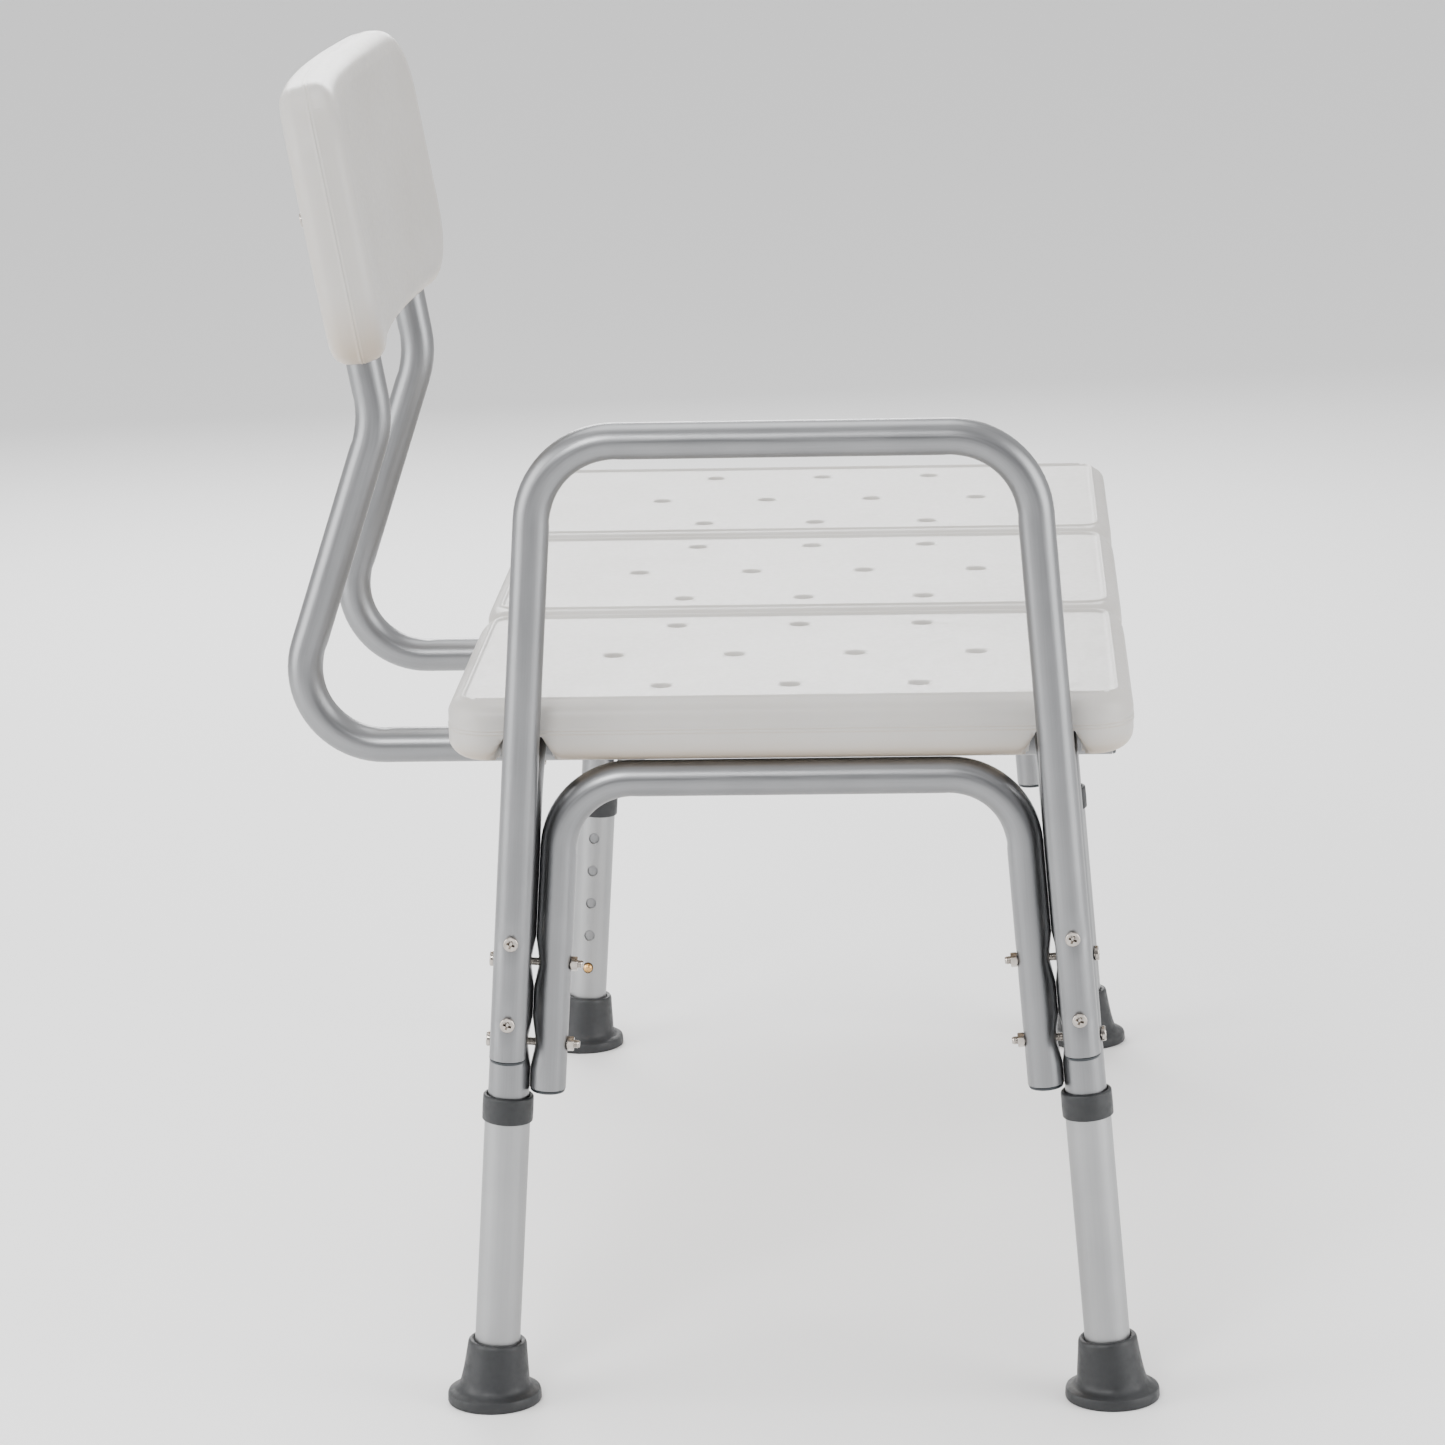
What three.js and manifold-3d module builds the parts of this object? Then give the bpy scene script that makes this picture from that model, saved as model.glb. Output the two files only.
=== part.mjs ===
// Bath transfer bench: a blow-moulded seat on two splayed tube frames, with a side arm,
// a backrest on two bent tubes and four height-adjustable legs locked by snap buttons.
// Millimetres, +Z up. +X runs along the seat away from the side arm, +Y points to the
// backrest. The finished group stands on z = 0 with its bounding box centred on X and Y.
import * as THREE from 'three';
import { mergeVertices } from 'three/addons/utils/BufferGeometryUtils.js';
import Module from 'manifold-3d';

const wasm = await Module();
wasm.setup();

// ---- driving dimensions ----
const GAP = 0.3; // between touching pieces
const SEAT = { length: 778, depth: 414, top: 445, thickness: 37.5, corner: 28, edge: 8, wall: 3.5 };
const MODULE_PITCH = 256; // the seat top is moulded as three equal modules
const SCALLOP = { depth: 4, half: 34 }; // hollow in the long edges between two modules
const DRAIN = { rows: 86, threes: 78.5, fours: 75.5, radius: 4.5, post: 8 };
const FRAME_TUBE = { radius: 12.5, wall: 1.2, bend: 35, top: 420.4 }; // 25 mm leg frames
const RAIL_TUBE = { radius: 11, wall: 1.2 }; // 22 mm arm, braces and backrest tubes
const LEG_TUBE = { radius: 14, bore: 12.85, bottom: 10.3, top: 196 }; // 28 mm lower legs
const LEG_X = 379; // legs from the middle of the seat
const LEG_Y = 191.34; // leg axis at the floor
const SPLAY = Math.atan(0.0755); // legs lean out towards the floor
const UPPER_LEG_END = 45; // distance along a leg from the floor
const BUTTON = { along: 64, pitch: 25.4, holes: 5, radius: 3.4, hole: 3.9, proud: 2.6 };
const COLLAR = { bottom: 182.4, top: 198.8, radius: 15.6 };
const FOOT = { radius: 29, flange: 7, cone: 20.9, rim: 18, top: 39.6, floor: 9.8 };
const BRACE = { offset: 23.8, top: 396.1, bottom: 204.5, bend: 45, bolts: [233, 283.8] };
const ARM = { top: 606.5, bottom: 228.6, bend: 50, screws: [252.7, 303.5] };
const BACK = { x: -156.5, half: 128.5, y: 259.7, z: 640, tilt: Math.atan(0.168) };
const PANEL = { width: 396, height: 172, thickness: 35, corner: 44, wall: 3.2, bow: 0.00038 };
const BACK_TUBE = { level: 396.1, front: -196, low: 322.1, knee: [253, 600], inside: 104, screw: 89 };
const BACK_BENDS = [48, 60];
const SIDES = 12; // facets round a tube

const ARM_X = -LEG_X - FRAME_TUBE.radius - RAIL_TUBE.radius - GAP;
const END_NAMES = { [-1]: 'arm_end', 1: 'open_end' };
const SIDE_NAMES = { [-1]: 'front', 1: 'back' };
const ENDS = [-1, 1];
const CORNERS = ENDS.flatMap((end) => ENDS.map((side) => ({ end, side })));

// ---- materials ----
const finish = (color, roughness, metalness = 0) =>
  new THREE.MeshStandardMaterial({ color, roughness, metalness });
const MATERIALS = {
  plastic: finish(0xd6d3cf, 0.5),
  tube: finish(0xaeb0b3, 0.35, 0.9),
  legTube: finish(0xc4c6c8, 0.45, 0.9),
  rubber: finish(0x4a4b4d, 0.85),
  plug: finish(0x33383b, 0.6),
  steel: finish(0xb5afa6, 0.3, 1),
  brass: finish(0xc89b5a, 0.35, 1),
};

const bench = new THREE.Group();
const v3 = (x, y, z) => new THREE.Vector3(x, y, z);

function place(parent, name, geometry, material) {
  const mesh = new THREE.Mesh(geometry, MATERIALS[material]);
  mesh.name = name;
  parent.add(mesh);
  return mesh;
}

// ---- solids ----
function solid(geometry) {
  const bare = geometry.clone();
  bare.deleteAttribute('normal');
  bare.deleteAttribute('uv');
  const merged = mergeVertices(bare, 1e-4);
  return new wasm.Manifold(new wasm.Mesh({
    numProp: 3,
    vertProperties: new Float32Array(merged.attributes.position.array),
    triVerts: new Uint32Array(merged.index.array),
  }));
}

function geometryOf(body) {
  const mesh = body.getMesh();
  const geometry = new THREE.BufferGeometry();
  geometry.setAttribute('position', new THREE.BufferAttribute(mesh.vertProperties, 3));
  geometry.setIndex(new THREE.BufferAttribute(mesh.triVerts, 1));
  return geometry;
}

const join = (...geometries) =>
  geometryOf(geometries.map(solid).reduce((whole, next) => whole.add(next)));
const cut = (geometry, ...tools) =>
  geometryOf(tools.map(solid).reduce((whole, tool) => whole.subtract(tool), solid(geometry)));

// A round bar from one point to another.
function bar(from, to, radius, sides = 6) {
  const along = to.clone().sub(from);
  const geometry = new THREE.CylinderGeometry(radius, radius, along.length(), sides);
  const turn = new THREE.Quaternion().setFromUnitVectors(v3(0, 1, 0), along.clone().normalize());
  geometry.applyQuaternion(turn);
  const middle = from.clone().add(to).multiplyScalar(0.5);
  return geometry.translate(middle.x, middle.y, middle.z);
}

// A turned piece: its profile is radius and height pairs, its axis points along a direction.
function turned(profile, sides, origin = v3(0, 0, 0), direction = v3(0, 0, 1)) {
  const points = profile.map(([radius, height]) => new THREE.Vector2(radius, height));
  const geometry = new THREE.LatheGeometry(points, sides);
  geometry.applyQuaternion(new THREE.Quaternion().setFromUnitVectors(v3(0, 1, 0), direction));
  return geometry.translate(origin.x, origin.y, origin.z);
}

// ---- bent tubes ----
// A path through chosen stops: one step for each straight, several for each bend.
class Stops extends THREE.Curve {
  constructor(stops) {
    super();
    this.stops = stops;
  }
  getUtoTmapping(u) {
    return u;
  }
  getPoint(t) {
    const steps = this.stops.length - 1;
    const step = Math.min(Math.floor(t * steps), steps - 1);
    return this.stops[step].clone().lerp(this.stops[step + 1], t * steps - step);
  }
}

function bentPath(corners, radii, steps = 4) {
  const stops = [corners[0]];
  for (let i = 1; i < corners.length - 1; i++) {
    const back = corners[i - 1].clone().sub(corners[i]).normalize();
    const ahead = corners[i + 1].clone().sub(corners[i]).normalize();
    const half = back.angleTo(ahead) / 2;
    const centre = back.clone().add(ahead).normalize();
    centre.multiplyScalar(radii[i - 1] / Math.sin(half)).add(corners[i]);
    const reach = radii[i - 1] / Math.tan(half);
    const start = corners[i].clone().addScaledVector(back, reach).sub(centre);
    const axis = start.clone().cross(back.clone().negate()).normalize();
    for (let k = 0; k <= steps; k++) {
      const angle = (Math.PI - 2 * half) * (k / steps);
      stops.push(start.clone().applyAxisAngle(axis, angle).add(centre));
    }
  }
  stops.push(corners[corners.length - 1]);
  return new Stops(stops);
}

function disc(radius, bore) {
  const shape = new THREE.Shape().absarc(0, 0, radius, 0, 2 * Math.PI);
  if (bore) shape.holes.push(new THREE.Path().absarc(0, 0, bore, 0, 2 * Math.PI));
  return shape;
}

function sweep(path, radius, bore = 0) {
  return new THREE.ExtrudeGeometry(disc(radius, bore), {
    steps: path.stops.length - 1,
    curveSegments: SIDES / 2,
    extrudePath: path,
    bevelEnabled: false,
  });
}

const tube = (path, { radius, wall }) => sweep(path, radius, radius - wall);

// ---- leg lines: s is the distance along a leg from the floor ----
const legPoint = (x, side, s, inward = 0) => v3(
  x,
  side * (LEG_Y - s * Math.sin(SPLAY) - inward * Math.cos(SPLAY)),
  s * Math.cos(SPLAY) - inward * Math.sin(SPLAY),
);
const legDistance = (z) => z / Math.cos(SPLAY);
const outward = (side) => v3(0, side * Math.cos(SPLAY), Math.sin(SPLAY));

// ---- seat ----
function seatOutline(inset) {
  const x = SEAT.length / 2 - inset;
  const y = SEAT.depth / 2 - inset;
  const r = SEAT.corner - inset;
  const { depth, half } = SCALLOP;
  const joints = ENDS.map((end) => (end * MODULE_PITCH) / 2);
  const shape = new THREE.Shape();
  shape.moveTo(-x + r, -y);
  for (const joint of joints) {
    shape.lineTo(joint - half, -y);
    shape.bezierCurveTo(joint - half / 3, -y, joint - half / 2, -y + depth, joint, -y + depth);
    shape.bezierCurveTo(joint + half / 2, -y + depth, joint + half / 3, -y, joint + half, -y);
  }
  shape.lineTo(x - r, -y);
  shape.absarc(x - r, -y + r, r, -Math.PI / 2, 0);
  shape.absarc(x - r, y - r, r, 0, Math.PI / 2);
  for (const joint of [...joints].reverse()) {
    shape.lineTo(joint + half, y);
    shape.bezierCurveTo(joint + half / 3, y, joint + half / 2, y - depth, joint, y - depth);
    shape.bezierCurveTo(joint - half / 2, y - depth, joint - half / 3, y, joint - half, y);
  }
  shape.lineTo(-x + r, y);
  shape.absarc(-x + r, y - r, r, Math.PI / 2, Math.PI);
  shape.absarc(-x + r, -y + r, r, Math.PI, Math.PI * 1.5);
  return shape;
}

function drainPlaces() {
  const places = [];
  for (const module of [-1, 0, 1]) {
    for (const row of [-1, 0, 1]) {
      const count = row === 0 ? 4 : 3;
      const pitch = row === 0 ? DRAIN.fours : DRAIN.threes;
      for (let i = 0; i < count; i++) {
        places.push([module * MODULE_PITCH + row * DRAIN.rows, (i - (count - 1) / 2) * pitch]);
      }
    }
  }
  return places;
}

function framePath(side) {
  const corner = legDistance(FRAME_TUBE.top);
  return bentPath([
    legPoint(-LEG_X, side, UPPER_LEG_END), legPoint(-LEG_X, side, corner),
    legPoint(LEG_X, side, corner), legPoint(LEG_X, side, UPPER_LEG_END),
  ], [FRAME_TUBE.bend, FRAME_TUBE.bend]);
}

// The channel under the seat that a leg frame lies in, open below.
function channel(side, clearance) {
  const radius = FRAME_TUBE.radius + clearance;
  const { y } = legPoint(0, side, legDistance(FRAME_TUBE.top));
  const length = 2 * (LEG_X - FRAME_TUBE.bend);
  const drop = FRAME_TUBE.top - (SEAT.top - SEAT.thickness) + 2;
  const slot = new THREE.BoxGeometry(length, 2 * radius, drop);
  slot.translate(0, y, FRAME_TUBE.top - drop / 2);
  return join(sweep(framePath(side), radius), slot);
}

function seat() {
  const bottom = SEAT.top - SEAT.thickness;
  const shell = new THREE.ExtrudeGeometry(seatOutline(SEAT.edge), {
    depth: SEAT.thickness - 2 * SEAT.edge,
    bevelThickness: SEAT.edge,
    bevelSize: SEAT.edge,
    bevelSegments: 2,
    curveSegments: 3,
  }).translate(0, 0, bottom + SEAT.edge);
  const hollow = new THREE.ExtrudeGeometry(seatOutline(SEAT.edge), {
    depth: SEAT.thickness - 2 * SEAT.wall,
    bevelEnabled: false,
    curveSegments: 2,
  }).translate(0, 0, bottom + SEAT.wall);
  const upright = ([x, y], radius) =>
    bar(v3(x, y, bottom - 1), v3(x, y, SEAT.top + 1), radius);
  const inside = cut(
    hollow,
    ...drainPlaces().map((spot) => upright(spot, DRAIN.post)),
    ...ENDS.map((side) => channel(side, GAP + SEAT.wall)),
  );
  const blowHole = bar(v3(0, 0, bottom - 1), v3(0, 0, bottom + SEAT.wall + 1), 5);
  return cut(
    shell,
    inside,
    blowHole,
    ...drainPlaces().map((spot) => upright(spot, DRAIN.radius)),
    ...ENDS.map((side) => channel(side, GAP)),
  );
}

// ---- frames and rails ----
// Bolts through a leg and its brace, square to the leg.
const braceBoltLine = (end, side, s) => [
  legPoint(end * LEG_X, side, s, -FRAME_TUBE.radius - 5),
  legPoint(end * LEG_X, side, s, BRACE.offset + RAIL_TUBE.radius + 12),
];
const BOLT = { radius: 2.5, hole: 3, head: 4.6, rise: 3 };

function braceHoles(end) {
  return ENDS.flatMap((side) => BRACE.bolts.map((s) => bar(...braceBoltLine(end, side, s), BOLT.hole)));
}

// Upright bolts that tie each backrest tube to the frame tube above it.
const tiePlaces = ENDS.flatMap((across) => ENDS.map((side) => ({
  across,
  side,
  x: BACK.x + across * BACK.half,
  y: legPoint(0, side, legDistance(FRAME_TUBE.top)).y,
})));
const tieTop = FRAME_TUBE.top + 6;

function legFrame(side) {
  const mine = (spot) => spot.side === side;
  const buttonHoles = ENDS.map((end) => {
    const axis = legPoint(end * LEG_X, side, BUTTON.along);
    return bar(axis, axis.clone().add(v3(-end * 16, 0, 0)), BUTTON.hole, 8);
  });
  const armHoles = ARM.screws.map((s) =>
    bar(legPoint(ARM_X, side, s), legPoint(-LEG_X, side, s), BOLT.hole));
  const tieHoles = tiePlaces.filter(mine).map(({ x, y }) =>
    bar(v3(x, y, FRAME_TUBE.top - 16), v3(x, y, FRAME_TUBE.top), BOLT.hole));
  return cut(tube(framePath(side), FRAME_TUBE),
    ...ENDS.flatMap(braceHoles), ...buttonHoles, ...armHoles, ...tieHoles);
}

function endBrace(end) {
  const x = end * LEG_X;
  const level = legDistance(BRACE.top + BRACE.offset * Math.sin(SPLAY));
  const line = (side, s) => legPoint(x, side, s, BRACE.offset);
  const path = bentPath(
    [line(-1, BRACE.bottom), line(-1, level), line(1, level), line(1, BRACE.bottom)],
    [BRACE.bend, BRACE.bend],
  );
  return cut(tube(path, RAIL_TUBE), ...braceHoles(end));
}

function sideArm() {
  const level = legDistance(ARM.top);
  const line = (side, s) => legPoint(ARM_X, side, s);
  const path = bentPath(
    [line(-1, ARM.bottom), line(-1, level), line(1, level), line(1, ARM.bottom)],
    [ARM.bend, ARM.bend],
  );
  const holes = ENDS.flatMap((side) => ARM.screws.map((s) =>
    bar(legPoint(ARM_X - 16, side, s), legPoint(ARM_X + 16, side, s), BOLT.hole)));
  return cut(tube(path, RAIL_TUBE), ...holes);
}

// ---- backrest ----
// A point of the backrest: across from its middle, back from its tubes, up along its slope.
const backPoint = (across, back, up) => v3(
  BACK.x + across,
  BACK.y + back * Math.cos(BACK.tilt) + up * Math.sin(BACK.tilt),
  BACK.z - back * Math.sin(BACK.tilt) + up * Math.cos(BACK.tilt),
);

function backTube(across) {
  const x = BACK.x + across * BACK.half;
  const path = bentPath([
    v3(x, BACK_TUBE.front, BACK_TUBE.level),
    v3(x, BACK_TUBE.low, BACK_TUBE.level),
    v3(x, ...BACK_TUBE.knee),
    backPoint(across * BACK.half, 0, BACK_TUBE.inside),
  ], BACK_BENDS);
  const tieHoles = tiePlaces.filter((spot) => spot.across === across).map(({ y }) =>
    bar(v3(x, y, BACK_TUBE.level - 16), v3(x, y, BACK_TUBE.level + 16), BOLT.hole));
  const screwHole = bar(backPoint(across * BACK.half, 0, BACK_TUBE.screw),
    backPoint(across * BACK.half, 16, BACK_TUBE.screw), BOLT.hole);
  return cut(tube(path, RAIL_TUBE), ...tieHoles, screwHole);
}

// A rounded slab, bowed in plan so that its ends come forward, standing on its lower edge.
function bowedSlab(width, height, thickness, corner, shrink) {
  const layers = [[-0.5, shrink], [-0.36, shrink / 5], [0.36, shrink / 5], [0.5, shrink]];
  const slab = new THREE.BoxGeometry(1, 1, 1, 10, 3, 6);
  const spots = slab.attributes.position;
  for (let i = 0; i < spots.count; i++) {
    const layer = layers[Math.round((spots.getY(i) + 0.5) * 3)];
    const half = [width / 2 - layer[1], height / 2 - layer[1]];
    const at = [spots.getX(i) * 2 * half[0], spots.getZ(i) * 2 * half[1]];
    const core = at.map((value, k) => THREE.MathUtils.clamp(value, corner - half[k], half[k] - corner));
    const past = at.map((value, k) => value - core[k]);
    const reach = Math.hypot(...past);
    const pull = reach > 0 ? Math.max(...past.map(Math.abs)) / reach : 1;
    const across = core[0] + past[0] * pull;
    const bow = PANEL.bow * (BACK.half ** 2 - across ** 2);
    const up = core[1] + past[1] * pull + PANEL.height / 2;
    const spot = backPoint(across, layer[0] * thickness + bow, up);
    spots.setXYZ(i, spot.x, spot.y, spot.z);
  }
  return slab;
}

function backrest() {
  const { width, height, thickness, corner, wall } = PANEL;
  const shell = bowedSlab(width, height, thickness, corner, 6);
  const hollow = bowedSlab(width - 2 * wall, height - 2 * wall, thickness - 2 * wall, corner, 6);
  const socket = (across, radius, from, to) =>
    bar(backPoint(across * BACK.half, 0, from), backPoint(across * BACK.half, 0, to), radius, SIDES);
  const screwBoss = (across, radius, from) =>
    bar(backPoint(across * BACK.half, from, BACK_TUBE.screw),
      backPoint(across * BACK.half, 24, BACK_TUBE.screw), radius);
  const room = RAIL_TUBE.radius + 0.5;
  const inside = cut(hollow,
    ...ENDS.map((across) => socket(across, room + 2.6, -2, BACK_TUBE.inside - 4)));
  return cut(shell, inside,
    ...ENDS.map((across) => socket(across, room, -4, BACK_TUBE.inside + 4)),
    ...ENDS.map((across) => screwBoss(across, BOLT.hole, 8)));
}

// ---- fasteners and plugs ----
const boltProfile = (length) => [
  [0, -BOLT.rise], [BOLT.head * 0.6, -BOLT.rise], [BOLT.head, -BOLT.rise * 0.4], [BOLT.head, 0],
  [BOLT.radius, 0], [BOLT.radius, length], [0, length],
];

function hexNut(origin, direction) {
  const shape = new THREE.Shape();
  for (let k = 0; k < 6; k++) {
    const angle = (k * Math.PI) / 3;
    const point = [4.6 * Math.cos(angle), 4.6 * Math.sin(angle)];
    if (k) shape.lineTo(...point);
    else shape.moveTo(...point);
  }
  shape.closePath();
  shape.holes.push(new THREE.Path().absarc(0, 0, BOLT.radius + GAP, 0, 2 * Math.PI));
  const nut = new THREE.ExtrudeGeometry(shape, { depth: 4, bevelEnabled: false, curveSegments: 4 });
  nut.applyQuaternion(new THREE.Quaternion().setFromUnitVectors(v3(0, 0, 1), direction));
  return nut.translate(origin.x, origin.y, origin.z);
}

// A push-in plug: a thin rim that caps the tube and a stem inside it.
const plugProfile = [[0, -1.8], [9.4, -1.8], [10.8, -0.8], [10.8, -GAP], [9.2, -GAP], [9.2, 11], [0, 11]];
const plug = (origin, direction) => turned(plugProfile, SIDES, origin, direction);

// ---- adjustable legs, built along +Z from the floor and leaned as a group ----
function lowerLeg(end) {
  const shape = disc(LEG_TUBE.radius, LEG_TUBE.bore);
  const blank = new THREE.ExtrudeGeometry(shape, {
    depth: LEG_TUBE.top - LEG_TUBE.bottom, bevelEnabled: false, curveSegments: SIDES / 2,
  }).translate(0, 0, LEG_TUBE.bottom);
  const holes = Array.from({ length: BUTTON.holes }, (_, k) => {
    const z = BUTTON.along + k * BUTTON.pitch;
    return bar(v3(-end * 6, 0, z), v3(-end * 18, 0, z), BUTTON.hole, 8);
  });
  return cut(blank, ...holes);
}

function collar() {
  const seatBore = LEG_TUBE.radius + GAP;
  const neck = FRAME_TUBE.radius + GAP;
  const lip = LEG_TUBE.top + GAP;
  const { bottom, top, radius } = COLLAR;
  return turned([
    [seatBore, bottom], [radius, bottom], [radius, top - 1], [radius - 1, top], [neck, top],
    [neck, lip], [seatBore, lip], [seatBore, bottom],
  ], SIDES);
}

function foot(side) {
  const tilt = side * SPLAY;
  const { radius, flange, cone, rim, top, floor } = FOOT;
  const pad = turned([[0, 0], [radius, 0], [radius, flange], [cone, flange + 6], [0, flange + 6]], 16);
  pad.rotateX(-tilt);
  const sleeve = turned([[0, 6], [cone, 6], [cone, 12], [rim, top], [0, top]], 16);
  const bore = bar(v3(0, 0, floor), v3(0, 0, top + 2), LEG_TUBE.radius + GAP, SIDES);
  return cut(join(pad, sleeve), bore);
}

// A domed button on a folded leaf spring; the button points along x.
function snapButton(end) {
  const root = FRAME_TUBE.radius - 4.2;
  const tip = LEG_TUBE.radius + BUTTON.proud;
  const { radius } = BUTTON;
  const pin = turned([
    [0, root], [4.4, root], [4.4, root + 1.2], [radius, root + 1.2], [radius, tip - 1.6],
    [radius * 0.7, tip - 0.4], [0, tip],
  ], 10, v3(0, 0, 0), v3(1, 0, 0));
  const leaf = new THREE.Shape();
  const line = [[root, -6], [root + 0.8, -6], [root + 0.8, 44], [4, 48], [-3.5, 44], [-3.5, -2],
    [-2.7, -2], [-2.7, 43.4], [4, 47], [root, 43.4]];
  line.forEach(([x, z], k) => (k ? leaf.lineTo(x, z) : leaf.moveTo(x, z)));
  leaf.closePath();
  const strip = new THREE.ExtrudeGeometry(leaf, { depth: 7, bevelEnabled: false });
  strip.rotateX(Math.PI / 2).translate(0, 3.5, 0);
  const clip = join(pin, strip);
  if (end > 0) clip.rotateZ(Math.PI);
  return clip.translate(0, 0, BUTTON.along);
}

// ---- assembly ----
place(bench, 'seat', seat(), 'plastic');
place(bench, 'backrest', backrest(), 'plastic');
place(bench, 'side_arm', sideArm(), 'tube');

for (const side of ENDS) {
  place(bench, `leg_frame_${SIDE_NAMES[side]}`, legFrame(side), 'tube');
  place(bench, `side_arm_plug_${SIDE_NAMES[side]}`,
    plug(legPoint(ARM_X, side, ARM.bottom), outwardUp(side)), 'plug');
  ARM.screws.forEach((s, k) => {
    const head = legPoint(ARM_X - RAIL_TUBE.radius - GAP, side, s);
    place(bench, `side_arm_screw_${SIDE_NAMES[side]}_${k + 1}`,
      turned(boltProfile(30), 8, head, v3(1, 0, 0)), 'steel');
  });
}

function outwardUp(side) {
  return legPoint(0, side, 1).sub(legPoint(0, side, 0));
}

for (const end of ENDS) place(bench, `end_brace_${END_NAMES[end]}`, endBrace(end), 'tube');

for (const across of ENDS) {
  const label = END_NAMES[across];
  const x = BACK.x + across * BACK.half;
  place(bench, `backrest_tube_${label}`, backTube(across), 'tube');
  place(bench, `backrest_tube_plug_${label}`,
    plug(v3(x, BACK_TUBE.front, BACK_TUBE.level), v3(0, 1, 0)), 'plug');
  const head = backPoint(across * BACK.half, PANEL.thickness / 2 + 3 * GAP, BACK_TUBE.screw);
  const inward = backPoint(0, -1, 0).sub(backPoint(0, 0, 0));
  place(bench, `backrest_screw_${label}`, turned(boltProfile(14), 8, head, inward), 'steel');
}

for (const { across, side, x, y } of tiePlaces) {
  const under = v3(x, y, BACK_TUBE.level - RAIL_TUBE.radius - GAP);
  place(bench, `seat_frame_bolt_${END_NAMES[across]}_${SIDE_NAMES[side]}`,
    turned(boltProfile(tieTop - under.z - 6), 8, under, v3(0, 0, 1)), 'steel');
}

for (const { end, side } of CORNERS) {
  const label = `${END_NAMES[end]}_${SIDE_NAMES[side]}`;
  const leg = new THREE.Group();
  leg.position.set(end * LEG_X, side * LEG_Y, 0);
  leg.rotation.x = side * SPLAY;
  bench.add(leg);
  place(leg, `lower_leg_${label}`, lowerLeg(end), 'legTube');
  place(leg, `leg_collar_${label}`, collar(), 'rubber');
  place(leg, `rubber_foot_${label}`, foot(side), 'rubber');
  place(leg, `snap_button_${label}`, snapButton(end), 'brass');

  place(bench, `end_brace_plug_${label}`,
    plug(legPoint(end * LEG_X, side, BRACE.bottom, BRACE.offset), outwardUp(side)), 'plug');
  BRACE.bolts.forEach((s, k) => {
    const head = legPoint(end * LEG_X, side, s, -FRAME_TUBE.radius - GAP);
    const back = legPoint(end * LEG_X, side, s, BRACE.offset + RAIL_TUBE.radius + GAP);
    const inward = outward(side).negate();
    place(bench, `brace_bolt_${label}_${k + 1}`, turned(boltProfile(56), 8, head, inward), 'steel');
    place(bench, `brace_nut_${label}_${k + 1}`, hexNut(back, inward), 'steel');
  });
}

// The origin is the middle of the bounding box, on the floor.
bench.updateMatrixWorld(true);
const bounds = new THREE.Box3().setFromObject(bench, true);
const middle = bounds.getCenter(v3(0, 0, 0));
bench.position.set(-middle.x, -middle.y, -bounds.min.z);

export default bench;
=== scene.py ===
# Bath transfer bench: the fine visual model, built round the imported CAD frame.
# Lengths are millimetres in the bench's own frame: the origin is on the floor under the middle
# of the seat, +X runs away from the side arm, +Y points to the backrest and +Z is up.
import math

import bpy
import bmesh
import numpy as np
from mathutils import Matrix, Vector


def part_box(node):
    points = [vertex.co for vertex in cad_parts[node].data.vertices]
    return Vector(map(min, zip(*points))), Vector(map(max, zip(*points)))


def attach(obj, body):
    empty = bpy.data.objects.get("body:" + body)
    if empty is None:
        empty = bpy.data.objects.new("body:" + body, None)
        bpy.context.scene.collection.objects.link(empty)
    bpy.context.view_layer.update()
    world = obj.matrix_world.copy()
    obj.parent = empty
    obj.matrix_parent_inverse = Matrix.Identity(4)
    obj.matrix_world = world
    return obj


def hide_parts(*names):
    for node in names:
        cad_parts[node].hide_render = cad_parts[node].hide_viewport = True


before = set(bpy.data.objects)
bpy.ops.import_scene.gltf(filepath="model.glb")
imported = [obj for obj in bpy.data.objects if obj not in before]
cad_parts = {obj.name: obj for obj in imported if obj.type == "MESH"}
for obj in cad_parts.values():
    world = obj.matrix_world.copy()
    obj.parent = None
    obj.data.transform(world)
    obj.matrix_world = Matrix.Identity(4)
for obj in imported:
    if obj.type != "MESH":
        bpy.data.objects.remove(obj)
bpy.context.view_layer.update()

MM = 0.001
seat_lo, seat_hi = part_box("seat")
SHIFT = np.array([(seat_lo.x + seat_hi.x) / 2, (seat_lo.y + seat_hi.y) / 2, 0.0])

# ---- driving dimensions, as in the CAD model ----
GAP = 0.3
CLOSE = 0.12  # the fine tubes are this much fuller, so that they all but touch
ENDS = {-1: "arm_end", 1: "open_end"}
SIDES = {-1: "front", 1: "back"}
SEAT_HALF = (389.0, 207.0)
SEAT_TOP, SEAT_BOTTOM = 445.0, 407.5
MODULE_PITCH = 256.0
FRAME_RADIUS, RAIL_RADIUS, WALL = 12.5, 11.0, 1.2
FRAME_TOP, FRAME_BEND = 420.4, 35.0
LEG_X, LEG_Y = 379.0, 191.34
SPLAY = math.atan(0.0755)
ARM_X = -LEG_X - FRAME_RADIUS - RAIL_RADIUS - GAP
ARM_TOP, ARM_BOTTOM, ARM_BEND, ARM_SCREWS = 606.5, 228.6, 50.0, (252.7, 303.5)
BRACE_OFFSET, BRACE_TOP, BRACE_BOTTOM, BRACE_BEND = 23.8, 396.1, 204.5, 45.0
BRACE_BOLTS = (233.0, 283.8)
BUTTON_ALONG, BUTTON_PITCH, BUTTON_HOLES, BUTTON_HOLE = 64.0, 25.4, 5, 3.9
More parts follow.
